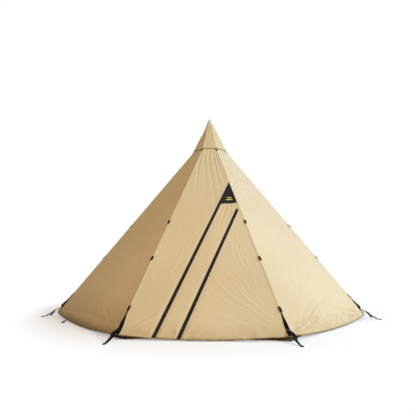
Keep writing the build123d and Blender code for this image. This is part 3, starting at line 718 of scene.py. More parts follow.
MATERIALS = {
    # The right sides get a light darkening near the ground; the left sides, away from the key light, get a
    # darker tan and a stronger, taller darkening: painted shade, partly dust.
    "canvas": canvas_material("tan canvas", TAN, 1.15, 0.20),
    "right_canvas": canvas_material("tan right canvas", TAN, 0.85, 0.22),
    "shaded_left_canvas": canvas_material("dusty left canvas", SHADY_TAN, 2.2, 0.50),
    "seam": canvas_material("seam canvas", TAN, 1.0, 0.30, 0.2, (-0.0066, 0.0066)),
    "hat": canvas_material("hat canvas", TAN, 0.0, specular=0.10),
    "binding": canvas_material("binding canvas", BROWN, 0.0, stitches=(-0.0055, -0.0125)),
    "hem": cloth_material("hem edge", (0.20, 0.115, 0.042), (0.34, 0.21, 0.09), 0.85, 0.2),
    "patch": cloth_material(
        "black patch cloth", (0.0045, 0.005, 0.005), (0.009, 0.0098, 0.0098), 0.68, 0.25
    ),
    "webbing": webbing_material(
        "black webbing", (0.0035, 0.0035, 0.0035), (0.009, 0.0085, 0.008), specular=0.10, sheen=0.03
    ),
    "tape": webbing_material(
        "black zip tape", (0.004, 0.0046, 0.005), (0.009, 0.0102, 0.011), 0.0012, 0.75, 0.2, (0.0058, 0.0185)
    ),
    "ridge": webbing_material("dark ridge webbing", (0.03, 0.026, 0.022), (0.07, 0.06, 0.05)),
    "olive": webbing_material("olive webbing", (0.050, 0.040, 0.014), (0.10, 0.082, 0.034), sheen=0.04),
    "sod": cloth_material("brown sod cloth", (0.008, 0.005, 0.003), (0.13, 0.088, 0.035), 0.78, 0.2),
    "coil": cloth_material("black zip coil", (0.0035, 0.004, 0.0045), (0.007, 0.008, 0.009), 0.82, 0.10),
    "zinc": metal_material("black painted zinc", (0.014, 0.014, 0.015), (0.20, 0.19, 0.18), 0.38, 0.6),
    "plastic": metal_material("black acetal", (0.010, 0.010, 0.010), (0.03, 0.03, 0.03), 0.42, 0.0),
    "aluminium": metal_material("anodised aluminium", (0.72, 0.73, 0.74), (0.58, 0.58, 0.58), 0.30),
    "steel": metal_material("spring steel", (0.55, 0.55, 0.55), (0.35, 0.33, 0.30), 0.25),
    "rubber": metal_material("foot rubber", (0.018, 0.018, 0.018), (0.05, 0.047, 0.042), 0.75, 0.0),
    "gold": webbing_material("gold thread", (0.82, 0.60, 0.06), (0.95, 0.78, 0.18), 0.0009, 0.55),
}

# ---- canvas ----
FRONT_ROWS, FRONT_COLUMNS = 360, 180
SEEN_ROWS, SEEN_COLUMNS = 440, 215
BACK_ROWS, BACK_COLUMNS = 230, 110
DOOR_ROWS, STRIP_COLUMNS, FLAP_COLUMNS = 180, 54, 130
PATCH_ROWS, PATCH_COLUMNS = 60, 40
SEEN_SIDES = (1, 7)
# The sides from here round to the door's left are away from the key light, and their canvas has painted
# shade.
FIRST_SHADED_SIDE = 4
CREASED_S = 2.4
CREASED_FROM = 0.30


def rows_through(start, middle, end, upper, count):
    """Slope distances from start to end, one of them at middle, with upper of them down to there."""
    lower = np.linspace(middle, end, count - upper + 1)[1:]
    return np.concatenate([np.linspace(start, middle, upper), lower])


def filled(left, right, columns):
    """x and s between two edges, each a list of (x, s)."""
    left, right = np.asarray(left, float), np.asarray(right, float)
    t = np.linspace(0, 1, columns)[None, :]
    return (left[:, k, None] * (1 - t) + right[:, k, None] * t for k in (0, 1))


def bounded_grid(left, right, columns, hem_lift=0.0):
    """x and s between two edges, each a list of (x, s); the last row follows the hem."""
    x, s = filled(left, right, columns)
    share = np.linspace(0, 1, len(left))[:, None] ** 3
    return x, s + share * (hem(x[-1]) - hem_lift - s[-1])[None, :]


def edge_points(line, slopes):
    return [(x_at(line, s), s) for s in slopes]


def sheet_mesh(name, points, x, s, material):
    return mesh_object(name, points, grid_faces(*points.shape[:2]), MATERIALS[material], pair(x, s))


def sheet_area(x, s):
    """Flat area of a grid in a side's own x and s."""
    ax, as_ = x[:-1, :-1] - x[1:, 1:], s[:-1, :-1] - s[1:, 1:]
    bx, bs = x[:-1, 1:] - x[1:, :-1], s[:-1, 1:] - s[1:, :-1]
    return float(np.abs(ax * bs - as_ * bx).sum() / 2)


SLANTED_SHARE = 0.32


def declare(x, s):
    """Works out a piece of cloth's width and length, a slanting cut's width from its area, not its box;
    neither is used.
    """
    width, length = float(x.max() - x.min()), float(s.max() - s.min())
    area = sheet_area(x, s)
    if area < SLANTED_SHARE * width * length:
        width = area / (0.5 * length)


PLAIN_SIDES = (
    "panel_right_front", "panel_right", "panel_right_back", "panel_back",
    "panel_left_back", "panel_left", "panel_left_front",
)


def plain_sides():
    """The seven sides without a door, with finer grids on the two that show beside it."""
    for side, node in enumerate(PLAIN_SIDES, start=1):
        count, columns = (SEEN_ROWS, SEEN_COLUMNS) if side in SEEN_SIDES else (BACK_ROWS, BACK_COLUMNS)
        rows = rows_through(CROWN_S, CREASED_S, CORNER_S, round(CREASED_FROM * count), count)
        x, s = bounded_grid(edge_points(LEFT_SEAM, rows), edge_points(SEAM, rows), columns)
        # Sides away from the key light take the darker canvas with painted shade.
        material = "right_canvas" if side < FIRST_SHADED_SIDE else "shaded_left_canvas"
        piece = sheet_mesh(f"canvas_{node}", canvas(side, x, s), x, s, material)
        put(piece, "tent", node, slot="canvas")


def front_canvas():
    """The door side's canvas left of the left zip."""
    zip_hem = hem_s(LEFT_ZIP)
    upper = round(FRONT_ROWS * (LEFT_ZIP_TOP_S - CROWN_S) / (zip_hem - CROWN_S))
    rows = rows_through(CROWN_S, LEFT_ZIP_TOP_S, zip_hem, upper, FRONT_ROWS)
    scale = (CORNER_S - CROWN_S) / (zip_hem - CROWN_S)
    left = edge_points(LEFT_SEAM, CROWN_S + (rows - CROWN_S) * scale)
    right = [(x_at(SEAM if s <= LEFT_ZIP_TOP_S else LEFT_ZIP, s), s) for s in rows]
    x, s = bounded_grid(left, right, FRONT_COLUMNS)
    piece = sheet_mesh("canvas_front", front(x, s), x, s, "canvas")
    put(piece, "tent", "front_panel", slot="canvas")
    declare(x, s)


PATCH_HANG = 0.012
PATCH_UNDER_SEAM = 0.004
PATCH_BESIDE_TAPE = 0.001


def door_patch():
    """The black patch: its right edge lies under the seam, and its lower edge waves."""
    tip = LEFT_ZIP_TOP_S - 0.03
    right_low = float(patch_s(x_at(SEAM, PATCH_RIGHT_S))) + PATCH_HANG
    left_rows = np.linspace(LEFT_ZIP_TOP_S + 0.03, PATCH_LEFT_S + PATCH_HANG, PATCH_ROWS)
    left = np.array(edge_points(shifted(LEFT_ZIP, -TAPE_WIDTH - PATCH_BESIDE_TAPE), left_rows))
    under_seam = shifted(SEAM, -PATCH_UNDER_SEAM)
    right = np.array(edge_points(under_seam, np.linspace(tip, right_low, PATCH_ROWS)))
    left[0] = (x_at(under_seam, tip) - 0.001, tip + 0.002)
    left[1:, 0] = np.minimum(left[1:, 0], right[1:, 0] - 0.001)
    x, s = filled(left, right, PATCH_COLUMNS)
    low = np.linspace(0, 1, PATCH_ROWS)[:, None] ** 4
    s = s + low * 0.006 * np.sin(np.linspace(0, 1, PATCH_COLUMNS)[None, :] * FULL_TURN * 1.6 + 0.6)
    clear = smooth(0.006, 0.030, TENT.spread * s - x)
    points = front(x, s, 0.0005 + clear * (0.0016 + 0.0012 * ripple(x / 0.05, s / 0.09, 3)))
    piece = sheet_mesh("black_patch", points, x, s, "patch")
    put(piece, "tent", "door_patch", slot="black_cloth")
    declare(x, s)


STRIP_BEND_X = 0.30
STRIP_BEND_S = (1.802, 1.842)


def door_strip():
    """The strip between the zips; the ends of a bend just below its top edge are worked out but not used."""
    top_right = float(patch_s(x_at(HINGE, PATCH_RIGHT_S)))
    left = edge_points(LEFT_ZIP, np.linspace(PATCH_LEFT_S, hem_s(LEFT_ZIP), DOOR_ROWS))
    right = [(strip_right(s), s) for s in np.linspace(top_right, hem_s(RIGHT_ZIP), DOOR_ROWS)]
    x, s = bounded_grid(left, right, STRIP_COLUMNS, DOOR_HEM_LIFT)
    piece = sheet_mesh("canvas_door_strip", front(x, s), x, s, "canvas")
    start, end = (front(STRIP_BEND_X, s) for s in STRIP_BEND_S)
    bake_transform(piece)
    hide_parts("door_strip")
    declare(x, s)


def flap_hem_lift(x, s):
    """How far the door flap's hem is cut back, down to nothing just past its hinge."""
    return DOOR_HEM_LIFT * (1 - smooth(-0.06, 0.02, x - x_at(HINGE, s)))


HINGE_BEND_S = 2.8
HINGE_BEND = (0.006, -0.045)


def bend_at_hinge(piece):
    """Bakes a piece of the door flap's transform into its mesh; the ends of a bend from right of its hinge
    line to left of it are worked out but not used.
    """
    axis = np.array([x_at(HINGE, HINGE_BEND_S), HINGE_BEND_S])
    across = np.array([1.0, -HINGE[1]]) / math.hypot(1, HINGE[1])
    start, end = (front(*(axis + right * across)) for right in HINGE_BEND)
    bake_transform(piece)


FLAP_ABOVE_ZIP = 0.095


def door_flap():
    """The flap and the narrow canvas edge it turns on, cut as one cloth."""
    top = RIGHT_ZIP_TOP_S - FLAP_ABOVE_ZIP
    left = [(strip_right(s), s) for s in np.linspace(top, hem_s(RIGHT_ZIP), DOOR_ROWS)]
    right = edge_points(SEAM, np.linspace(top, CORNER_S, DOOR_ROWS))
    x, s = bounded_grid(left, right, FLAP_COLUMNS)
    s = s - flap_hem_lift(x, s) * np.linspace(0, 1, DOOR_ROWS)[:, None] ** 6
    piece = sheet_mesh("canvas_door_flap", front(x, s), x, s, "canvas")
    bend_at_hinge(piece)
    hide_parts("door_flap", "door_edge_panel")
    declare(x, s)


# ---- zips ----
TAPE_GAP = 0.0003
TAPE_FOOT, TAPE_TOP = 0.0002, 0.0013
TAPE_ROWS = 170
TOOTH_PITCH = 0.0042
# A tooth's lower and then its upper corners: distance from the zip's line, place along it, and lift
TOOTH = (
    (0.0002, -0.25, 0.0012), (0.0030, -0.25, 0.0012), (0.0030, 0.25, 0.0012), (0.0002, 0.25, 0.0012),
    (0.0004, -0.18, 0.0025), (0.0026, -0.18, 0.0027), (0.0026, 0.18, 0.0027), (0.0004, 0.18, 0.0025),
)
TOOTH_FACES = ((0, 1, 5, 4), (1, 2, 6, 5), (2, 3, 7, 6), (3, 0, 4, 7), (4, 5, 6, 7), (3, 2, 1, 0))


def tape(builder, line, side, rows):
    """A raised ribbon beside a line on the door side: side -1 for left of it, 1 for right."""
    share, lift = profile(
        (0.0, TAPE_FOOT), (0.0, TAPE_TOP), (0.25, TAPE_TOP + 0.0003), (0.5, TAPE_TOP + 0.0004),
        (0.75, TAPE_TOP + 0.0003), (1.0, TAPE_TOP), (1.0, TAPE_FOOT),
    )
    low, high = sorted((side * TAPE_GAP, side * (TAPE_GAP + TAPE_WIDTH)))
    right = low + (high - low) * share
    s = rows[:, None]
    x = x_at(line, s) + right * math.hypot(1, line[1])
    builder.tube(front(x, s, lift), pair(right, s))


def coil(builder, line, side, top, low):
    """One half of a zip's coil: a row of small rounded teeth."""
    away, along, lift = np.array(TOOTH).T
    rows = np.arange(top, low, TOOTH_PITCH)[:, None]
    s = rows + 0.5 * TOOTH_PITCH * (side > 0) + along * TOOTH_PITCH * 1.5
    x = x_at(line, s) + side * away * math.hypot(1, line[1])
    faces = np.arange(len(rows))[:, None, None] * len(TOOTH) + np.array(TOOTH_FACES)
    builder.add(front(x, s, lift), pair(x, s), faces.reshape(-1, 4))


def zip_half(name, node, body, line, side, top):
    """One tape of a zip with its teeth."""
    low = hem_s(shifted(line, side * TAPE_WIDTH)) - DOOR_HEM_LIFT - 0.003
    band, teeth = Builder(), Builder()
    tape(band, line, side, np.linspace(top, low, TAPE_ROWS))
    coil(teeth, line, side, top + 0.03, low - 0.006)
    band = band.build(name, "tape")
    teeth = teeth.build(name + "_teeth", "coil")
    put(band, body, node, slot="zip_tape")
    put(teeth, body, slot="zip_tape")


def zips():
    zip_half("tape_left_fixed", "zip_tape_fixed", "tent", LEFT_ZIP, -1, LEFT_ZIP_TOP_S + 0.02)
    zip_half("tape_left_strip", "zip_tape_strip_left", "door_strip", LEFT_ZIP, 1, PATCH_LEFT_S + 0.006)
    zip_half("tape_right_strip", "zip_tape_strip_right", "door_strip", RIGHT_ZIP, -1, RIGHT_ZIP_TOP_S + 0.022)
    zip_half("tape_right_flap", "zip_tape_flap", "door_flap", RIGHT_ZIP, 1, RIGHT_ZIP_TOP_S + 0.040)


# ---- hat ----
HAT_HOLLOW = {5: 0.016, 6: 0.026, 7: 0.016}
HAT_LEAN = 0.011
HAT_PLEATS = 3
# Radius and height of the rings of the cap at the tip
HAT_CAP = ((0.0145, 3.3595), (0.0105, 3.3632), (0.005, 3.3650), (0.0002, 3.3652))
CAP_POINTS = 32
HAT_COLUMNS, RIM_COLUMNS = 49, 41


def hat_relief(side, x, s):
    """Pleats that run down the hat from its tip, and the hollow of its left side."""
    rng = np.random.default_rng(200 + side)
    total = np.zeros(np.broadcast(x, s).shape)
    half = HAT.spread * s
    for k in range(HAT_PLEATS):
        share = -0.58 + 0.58 * k + rng.uniform(-0.15, 0.15)
        off = x - (share + rng.uniform(-0.6, 0.6) * (s - 0.2)) * half
        width = 0.10 * half + 0.0050
        depth = rng.uniform(0.0065, 0.0100)
        end = rng.uniform(0.60, 0.90)
        fade = plateau(0.03, 0.12, 0.5 * end, end, s)
        total -= depth * fade * (bell(off, width) - 0.4 * bell(off, 2.2 * width))
    total += 0.0035 * ripple(x / 0.07 + side, s / 0.22, 210 + side) * smooth(0.15, 0.6, s)
    edge = smooth(0.0, 0.02, half - np.abs(x))
    hollow = HAT_HOLLOW.get(side, 0.0) * np.sin(np.pi * np.clip(s / 0.56, 0, 1)) ** 2
    return total * edge - hollow


def hat_points(side, x, s, lift=0.0):
    """Points on the hat, whose tip leans a little to the left."""
    flare = 0.0015 * smooth(0.60, 0.73, s)
    points = HAT.points(side, x, s, hat_relief(side, x, s) + lift + flare)
    points[..., 0] -= HAT_LEAN * (1 - smooth(0.0, 0.70, s))
    return points


def vent_hat():
    """The eight gores and the cap at their tip, as one cloth."""
    s = np.concatenate([np.linspace(0.030, 0.70, 90), np.linspace(0.70, HAT.slant, 8)[1:]])[:, None]
    x = s * HAT.spread * np.linspace(-1, 1, HAT_COLUMNS)[None, :]
    built = Builder()
    for side in range(SIDES):
        built.grid(hat_points(side, x, s), pair(x, s))
    turns = np.linspace(0, FULL_TURN, CAP_POINTS + 1)[:-1]
    radius, z = np.array(HAT_CAP).T[..., None]
    cap = np.stack([radius * np.sin(turns) - HAT_LEAN, -radius * np.cos(turns), 0 * turns + z], axis=-1)
    built.grid(cap, np.zeros((*cap.shape[:2], 2)), wrap=True)
    piece = built.build("hat_canvas", "hat")
    weld(piece, 0.0004)
    put(piece, "hat", "vent_hat", "hat_cap", slot="hat_canvas")


def hat_rim():
    """The binding folded round the hat's lower edge."""
    place, lift = profile(
        (-0.016, 0.0003), (-0.016, 0.0014), (-0.008, 0.0018),
        (0.001, 0.0014), (0.001, -0.0016), (-0.014, -0.0014),
    )
    s = HAT.slant + place
    x = np.linspace(-1, 1, RIM_COLUMNS)[:, None] * HAT.spread * s
    rim = Builder()
    for side in range(SIDES):
        rim.tube(hat_points(side, x, np.minimum(s, HAT.slant), lift), pair(place, x))
    put(rim.build("hat_rim_binding", "binding"), "hat", "hat_binding", slot="hat_binding")


# ---- seams ----
SEAM_LENGTH = math.hypot(CORNER_R, APEX_Z - CORNER_Z)
SEAM_OUT_R = (APEX_Z - CORNER_Z) / SEAM_LENGTH
SEAM_OUT_Z = CORNER_R / SEAM_LENGTH


def seam_rz(s, lift):
    """Radius and height at slope distance s on a seam, lifted square to the seam."""
    r = CORNER_R * s / CORNER_S + lift * SEAM_OUT_R
    return r, APEX_Z - (APEX_Z - CORNER_Z) * s / CORNER_S + lift * SEAM_OUT_Z


def in_plane(out, rz):
    """World points from (r, z) points in the upright plane that out lies in."""
    rz = np.asarray(rz, float)
    return rz[..., :1] * out + rz[..., 1:] * UP


def seam_points(corner, s, lift):
    return in_plane(corner_way(corner)[0], np.stack(seam_rz(s, lift), axis=-1))


def seam_ribbon(builder, corner, rows, half_left, half_right, lift, edge_lift=0.0002):
    """A ribbon folded over a ridge, lying on the canvas on both sides of it."""
    rows = rows[:, None]
    ridge = TENT.spread * rows
    section = ((1.0, edge_lift), (1.0, lift), (0.6, lift * 1.1), (0.2, lift * 1.15))
    columns = [canvas(corner, ridge - share * half_left, rows, height) for share, height in section]
    for share, height in reversed(section):
        columns.append(canvas((corner + 1) % SIDES, -ridge + share * half_right, rows, height))
    shares = np.array([-1, -1, -0.6, -0.2, 0.2, 0.6, 1, 1])
    builder.grid(np.concatenate(columns, axis=1), pair(shares * (half_left + half_right) / 2, rows))


def seams():
    """A flat-felled seam over each ridge."""
    built = Builder()
    rows = np.linspace(CROWN_S + 0.002, CORNER_S - 0.002, 240)
    for corner in range(SIDES):
        seam_ribbon(built, corner, rows, 0.008, 0.012, 0.0016)
    put(built.build("felled_seams", "seam"), "tent", slot="canvas")


HEM_STEP = 0.004


def hem_edges():
    """The folded dark hem along each cloth's lower edge; the run with no lift of its own is the flap's."""
    left_zip, right_zip = x_at(LEFT_ZIP, hem_s(LEFT_ZIP)), x_at(RIGHT_ZIP, hem_s(RIGHT_ZIP))
    plain = [(side, -CORNER_X, CORNER_X, 0.0) for side in range(1, SIDES)]
    spans = {
        "tent": [*plain, (0, -CORNER_X, left_zip, 0.0)],
        "door_strip": [(0, left_zip + 0.001, right_zip - 0.001, DOOR_HEM_LIFT)],
        "door_flap": [(0, right_zip + 0.001, CORNER_X, None)],
    }
    place, height = profile(
        (-0.010, 0.0002), (-0.010, 0.0020), (-0.005, 0.0023),
        (0.0006, 0.0019), (0.0006, -0.0020), (-0.009, -0.0018),
    )
    for body, runs in spans.items():
        built = Builder()
        for side, low, high, lift in runs:
            x = np.linspace(low, high, int((high - low) / HEM_STEP))[:, None]
            rise = flap_hem_lift(x, hem(x)) if lift is None else lift
            s = hem(x) - rise + place
            x = np.clip(x, -TENT.spread * s, TENT.spread * s)
            built.tube(canvas(side, x, s, height), pair(s, x))
        piece = built.build(f"hem_edge_{body}", "hem")
        if body == "door_flap":
            bend_at_hinge(piece)
        else:
            put(piece, body, slot="canvas")


# ---- corners ----
STRAP_JOINT_S = 3.693
# Slope distances, and at each the half width of the patch and the height of the fin
CORNER_PATCH_HALF = ((3.477, 3.56, 3.66, 3.72, 3.765), (0.003, 0.011, 0.025, 0.026, 0.020))
CORNER_FIN = ((3.440, 3.56, 3.655, 3.684), (0.0030, 0.013, 0.028, 0.014))
EYE_R = 2.588
EYE_LENGTH = 0.048
EYE_WIDTH = 0.032
EYE_HOLE_R = 0.008


def corner_patches():
    """Black cloth over the foot of each seam, with a fin that stands up along it."""
    built = Builder()
    for corner in range(SIDES):
        rows = np.linspace(CORNER_PATCH_HALF[0][0], CORNER_S - 0.004, 60)
        half = np.interp(rows, *CORNER_PATCH_HALF)[:, None]
        seam_ribbon(built, corner, rows, half, half, 0.0030, 0.0004)
        _, across = corner_way(corner)
        rows = np.linspace(CORNER_FIN[0][0], CORNER_FIN[0][-1], 40)
        foot = seam_points(corner, rows, 0.0012)
        top = seam_points(corner, rows, np.interp(rows, *CORNER_FIN))
        sides = (foot - 0.005 * across, top - 0.0025 * across, top + 0.0025 * across, foot + 0.005 * across)
        rings = np.stack(sides, axis=1)
        built.tube(rings, pair(rings @ across, rows[:, None]))
    put(built.build("corner_patch_cloth", "webbing"), "tent", "corner_patches", slot="black_cloth")


def strap_path():
    """The strap's bar (r, z), the unit ways down it and off it, and its length, in a corner's own plane."""
    start = np.array(seam_rz(STRAP_JOINT_S, 0.008))
    end = np.array([EYE_R - EYE_LENGTH / 2, 0.0075])
    way = (end - start) / np.linalg.norm(end - start)
    bar = start + 0.008 * way
    return bar, way, np.array([-way[1], way[0]]), float(np.linalg.norm(end - bar))


def smooth_path(points, count):
    """A smooth curve through a few points, by Catmull-Rom."""
    p = np.asarray(points, float)
    p = np.vstack([2 * p[0] - p[1], p, 2 * p[-1] - p[-2]])
    t = np.linspace(0, len(p) - 3 - 1e-9, count)
    k = t.astype(int)
    f = (t - k)[:, None]
    a, b, c, d = p[k], p[k + 1], p[k + 2], p[k + 3]
    square, cube = 2 * a - 5 * b + 4 * c - d, 3 * b - a - 3 * c + d
    return 0.5 * (2 * b + (c - a) * f + square * f**2 + cube * f**3)


def turned(across, along, degrees):
    """Width directions of a strap that is twisted about its own length by the angles given."""
    angle = np.radians(degrees)[:, None]
    return across * np.cos(angle) + np.cross(along, across) * np.sin(angle)


# Distances down the strap from its bar and lifts off it; the tail also goes sideways.
STRAP_LEG = (
    (0.0085, 0.0030), (0.0115, 0.0), (0.0165, -0.0040), (0.027, -0.0032), (0.045, -0.0012), (0.090, -0.0006)
)
STRAP_TAIL = (
    (0.0120, 0.0040, 0), (0.0165, 0.0042, 0), (0.026, 0.0056, 0), (0.050, 0.0085, 0.004),
    (0.080, 0.0060, 0.012), (0.108, -0.0040, 0.019), (0.134, -0.0170, 0.020), (0.156, -0.0260, 0.016),
)
# Radius and height along the strap's lower leg
LOWER_LEG = ((2.4290, 0.0560), (2.470, 0.0400), (2.520, 0.0190), (EYE_R - EYE_LENGTH / 2 + 0.004, 0.0040))
LEG_TWIST, TAIL_TWIST = 15, 75


def corner_straps():
    """Each strap comes up from its eye, over the lock's middle bar, and out again as a loose tail."""
    bar, way, lift, length = strap_path()
    rng = np.random.default_rng(77)
    leg = [bar + d * way + h * lift for d, h in (*STRAP_LEG, (length - 0.02, 0.0), (length, 0.0))]
    leg_twist = LEG_TWIST * plateau(0.62, 0.78, 0.86, 0.97, np.linspace(0, 1, 70))
    tail_twist = TAIL_TWIST * smooth(0.35, 0.75, np.linspace(0, 1, 50))
    for corner in range(SIDES):
        out, across = corner_way(corner)
        along, up = in_plane(out, way), in_plane(out, lift)
        built = Builder()
        path = in_plane(out, smooth_path(leg, len(leg_twist)))
        strap(built, path, turned(across, along, rng.choice((-1, 1)) * leg_twist), 0.028, 0.0026)
        side = rng.choice((-1, 1))
        tail = [in_plane(out, bar) + d * along + h * up + side * c * across for d, h, c in STRAP_TAIL]
        path = smooth_path(tail, len(tail_twist))
        strap(built, path, turned(across, along, side * tail_twist), 0.026, 0.0024)
        strap(built, in_plane(out, smooth_path(LOWER_LEG, 24)), across, 0.022, 0.0020)
        eye(built, out, across)
        piece = built.build(f"strap_{corner + 1}_webbing", "webbing")
        put(piece, f"strap_{corner + 1}", f"corner_strap_{corner + 1}", slot="black_webbing")


def eye(builder, out, across):
    """The folded peg eye at a strap's end: a thick stadium with a round hole."""
    turns = np.linspace(0, FULL_TURN, 41)[:-1]
    circle = np.stack([np.cos(turns), np.sin(turns)], axis=-1)
    inner, outer = circle * EYE_HOLE_R, circle * EYE_WIDTH / 2
    outer[:, 0] += np.sign(circle[:, 0]) * (EYE_LENGTH - EYE_WIDTH) / 2
    section = (
        (inner, 0.0012), (inner, 0.0072), (inner * 1.08, 0.0080), (outer * 0.97, 0.0080), (outer, 0.0070),
        (outer, 0.0012), (outer * 0.97, 0.0006), (inner * 1.08, 0.0006), (inner, 0.0012),
    )
    points = np.array([(EYE_R + ring[:, :1]) * out + ring[:, 1:] * across + z * UP for ring, z in section])
    builder.grid(points, pair(points @ across, points @ out), wrap=True)


# Distances down the strap from its bar, and lifts off it
TAB_LOOP = ((-0.010, 0.0042), (-0.001, 0.0044), (0.0042, 0.0), (-0.001, -0.0042), (-0.010, -0.0030))


def corner_tabs():
    """Short webbing tabs that hold each ladder lock's upper bar."""
    bar, way, lift, _ = strap_path()
    loop = [seam_rz(STRAP_JOINT_S - 0.07, 0.0042), seam_rz(STRAP_JOINT_S - 0.02, 0.0044)]
    loop += [bar + d * way + h * lift for d, h in TAB_LOOP]
    built = Builder()
    for corner in range(SIDES):
        out, across = corner_way(corner)
        strap(built, in_plane(out, smooth_path(loop, 40)), across, 0.021, 0.0014)
    put(built.build("corner_tab_webbing", "webbing"), "tent", "corner_tabs", slot="black_webbing")


# ---- tabs and loops ----
# Distances down the seam from where a tab is set, and lifts off the seam
GUY_TAB = (
    (-0.0312, 0.0024), (-0.026, 0.0034), (-0.0078, 0.0052), (0.0104, 0.0068), (0.026, 0.0080),
    (0.0325, 0.0074), (0.03406, 0.0060), (0.0312, 0.0046), (0.0208, 0.0036), (0.0, 0.0030),
)
TOGGLE = (
    (-0.002, 0.0085), (0.004, 0.0080), (0.012, 0.0068), (0.022, 0.0060), (0.032, 0.0058),
    (0.040, 0.0056), (0.0435, 0.0048), (0.040, 0.0040), (0.030, 0.0038),
)
# Radius and height along a hem loop, in its side's own plane
HEM_LOOP = (
    (2.268, 0.034), (2.288, 0.026), (2.306, 0.021), (2.328, 0.016), (2.342, 0.011),
    (2.3445, 0.006), (2.334, 0.0032), (2.314, 0.0055), (2.292, 0.0120),
)
HEM_LOOP_X = -0.370
FIRST_LOOP_SIDE = 2


def seam_tabs(path, places, width, thickness):
    """A folded tab on each ridge at each of the slope distances given."""
    down, lift = np.array(path).T
    built = Builder()
    for corner in range(SIDES):
        for s in places:
            strap(built, seam_points(corner, s + down, lift), corner_way(corner)[1], width, thickness)
    return built


def guy_tabs():
    """Small folded webbing tabs sewn on the ridges."""
    built = seam_tabs(GUY_TAB, GUY_TAB_S, 0.030, 0.0018)
    put(built.build("guy_tab_webbing", "webbing"), "tent", "guy_tabs", slot="black_webbing")


def toggles():
    """Dark tabs that hook the hat's rim to each ridge."""
    built = seam_tabs(TOGGLE, [HAT_RIM_R / CORNER_R * CORNER_S], 0.022, 0.0016)
    put(built.build("hat_toggle_webbing", "webbing"), "hat", "hat_toggles", slot="black_webbing")


def hem_loops():
    """Olive peg loops at the hem, left of the middle of each side that has one."""
    built = Builder()
    for side in range(FIRST_LOOP_SIDE, SIDES):
        out, across = plan_way(side)
        strap(built, in_plane(out, smooth_path(HEM_LOOP, 40)) + HEM_LOOP_X * across, across, 0.030, 0.0040)
    put(built.build("hem_loop_webbing", "olive"), "tent", "hem_peg_loops", slot="olive_webbing")


# ---- sod cloth ----
SOD_TOP_S = 3.67
SOD_FOOT_R = 2.165
SOD_DEPTH = 0.19
SOD_SKIRT = 0.42


def sod_cloth():
    """Dark skirt inside the hem, rucked at the corners, that turns in along the ground."""
    built = Builder()
    u = np.linspace(-1, 1, 90)[None, :]
    t = np.linspace(0, 1, 34)[:, None]
    corner_near = smooth(0.72, 1.0, np.abs(u))
    run_top, z_top = SOD_TOP_S * TENT.cos - 0.010, APEX_Z - SOD_TOP_S * TENT.sin
    skirt = np.minimum(t / SOD_SKIRT, 1)
    inward = np.clip((t - SOD_SKIRT) / (1 - SOD_SKIRT), 0, 1)
    hang = np.sin(np.pi * skirt) * (inward <= 0)
    for side in range(SIDES):
        out, across = plan_way(side)
        seen = corner_near * ((side == 0) | ((side == 1) & (u < 0)) | ((side == SIDES - 1) & (u > 0)))
        run_low = SOD_FOOT_R - 0.080 * corner_near + 0.130 * seen
        field = ripple(u * 9 + side * 3, t * 5, 300 + side)
        fine = ripple(u * 24 + side, t * 9, 320 + side)
        wild = 0.35 + 0.65 * corner_near + 0.5 * seen
        run = run_top + (run_low - run_top) * skirt - SOD_DEPTH * inward
        run = run + wild * (0.020 * field + 0.010 * fine) * hang
        rise = np.maximum(0, 0.015 * field + 0.008 * fine + 0.002) * smooth(0.3, 0.5, t)
        z = z_top * (1 - skirt) + 0.0012 + wild * rise
        x = u * run * math.tan(HALF_TURN)
        built.grid(run[..., None] * out + x[..., None] * across + z[..., None] * UP, pair(x, run))
    piece = built.build("sod_cloth", "sod")
    weld(piece, 0.0008)
    put(piece, "tent", "sod_skirt", "sod_ground_flap", slot="sod_cloth")


# ---- inside webbing ----
RIDGE_LIFT = -0.0098


def inside_webbing():
    """Webbing inside each ridge, the straps up to the pole's head, and the band round the canvas's top."""
    ridge, crown, band = Builder(), Builder(), Builder()
    for corner in range(SIDES):
        _, across = corner_way(corner)
        rows = np.linspace(CROWN_S + 0.003, 3.70, 120)
        sway = 0.0006 * np.sin(rows * 21 + corner)
        strap(ridge, seam_points(corner, rows, RIDGE_LIFT + sway), across, 0.025, 0.0014)
        rows = np.linspace(0.0595, CROWN_S + 0.002, 16)
        strap(crown, seam_points(corner, rows, RIDGE_LIFT), across, 0.020, 0.0014)
    put(ridge.build("ridge_webbing_inside", "ridge"), "tent", "ridge_webbing", slot="ridge_webbing")
    put(crown.build("crown_strap_webbing", "ridge"), "tent", "crown_straps", slot="ridge_webbing")
    s, lift = profile(
        (0.193, -0.0026), (0.231, -0.0026), (0.2315, -0.0033),
        (0.231, -0.0040), (0.193, -0.0040), (0.1925, -0.0033),
    )
    x = np.linspace(-0.93, 0.93, 15)[:, None] * TENT.spread * s
    for side in range(SIDES):
        band.tube(TENT.points(side, x, s, lift), pair(s, x))
    put(band.build("crown_band_webbing", "ridge"), "tent", "crown_band", slot="ridge_webbing")


def badge():
    """A plain woven badge of two bars on the black patch."""
    built = Builder()
    lows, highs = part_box("patch_badge")
    middle = (lows.x + highs.x) / 2
    half = (highs.x - lows.x) / 2
    place, lift = profile(
        (-0.010, 0.0018), (-0.0085, 0.0034), (0.0, 0.0040), (0.0085, 0.0034), (0.010, 0.0018)
    )
    for s, width in ((1.694, half * 0.72), (1.736, half * 1.06)):
        x = middle + np.linspace(-width, width, 30)[:, None]
        squeeze = np.sqrt(np.clip(1 - (np.abs(x - middle) / width) ** 8, 0.02, 1))
        down = s + place * squeeze
        built.tube(front(x, down, lift), pair(down, x))
    put(built.build("badge_bars", "gold"), "tent", "patch_badge", slot="badge_thread")


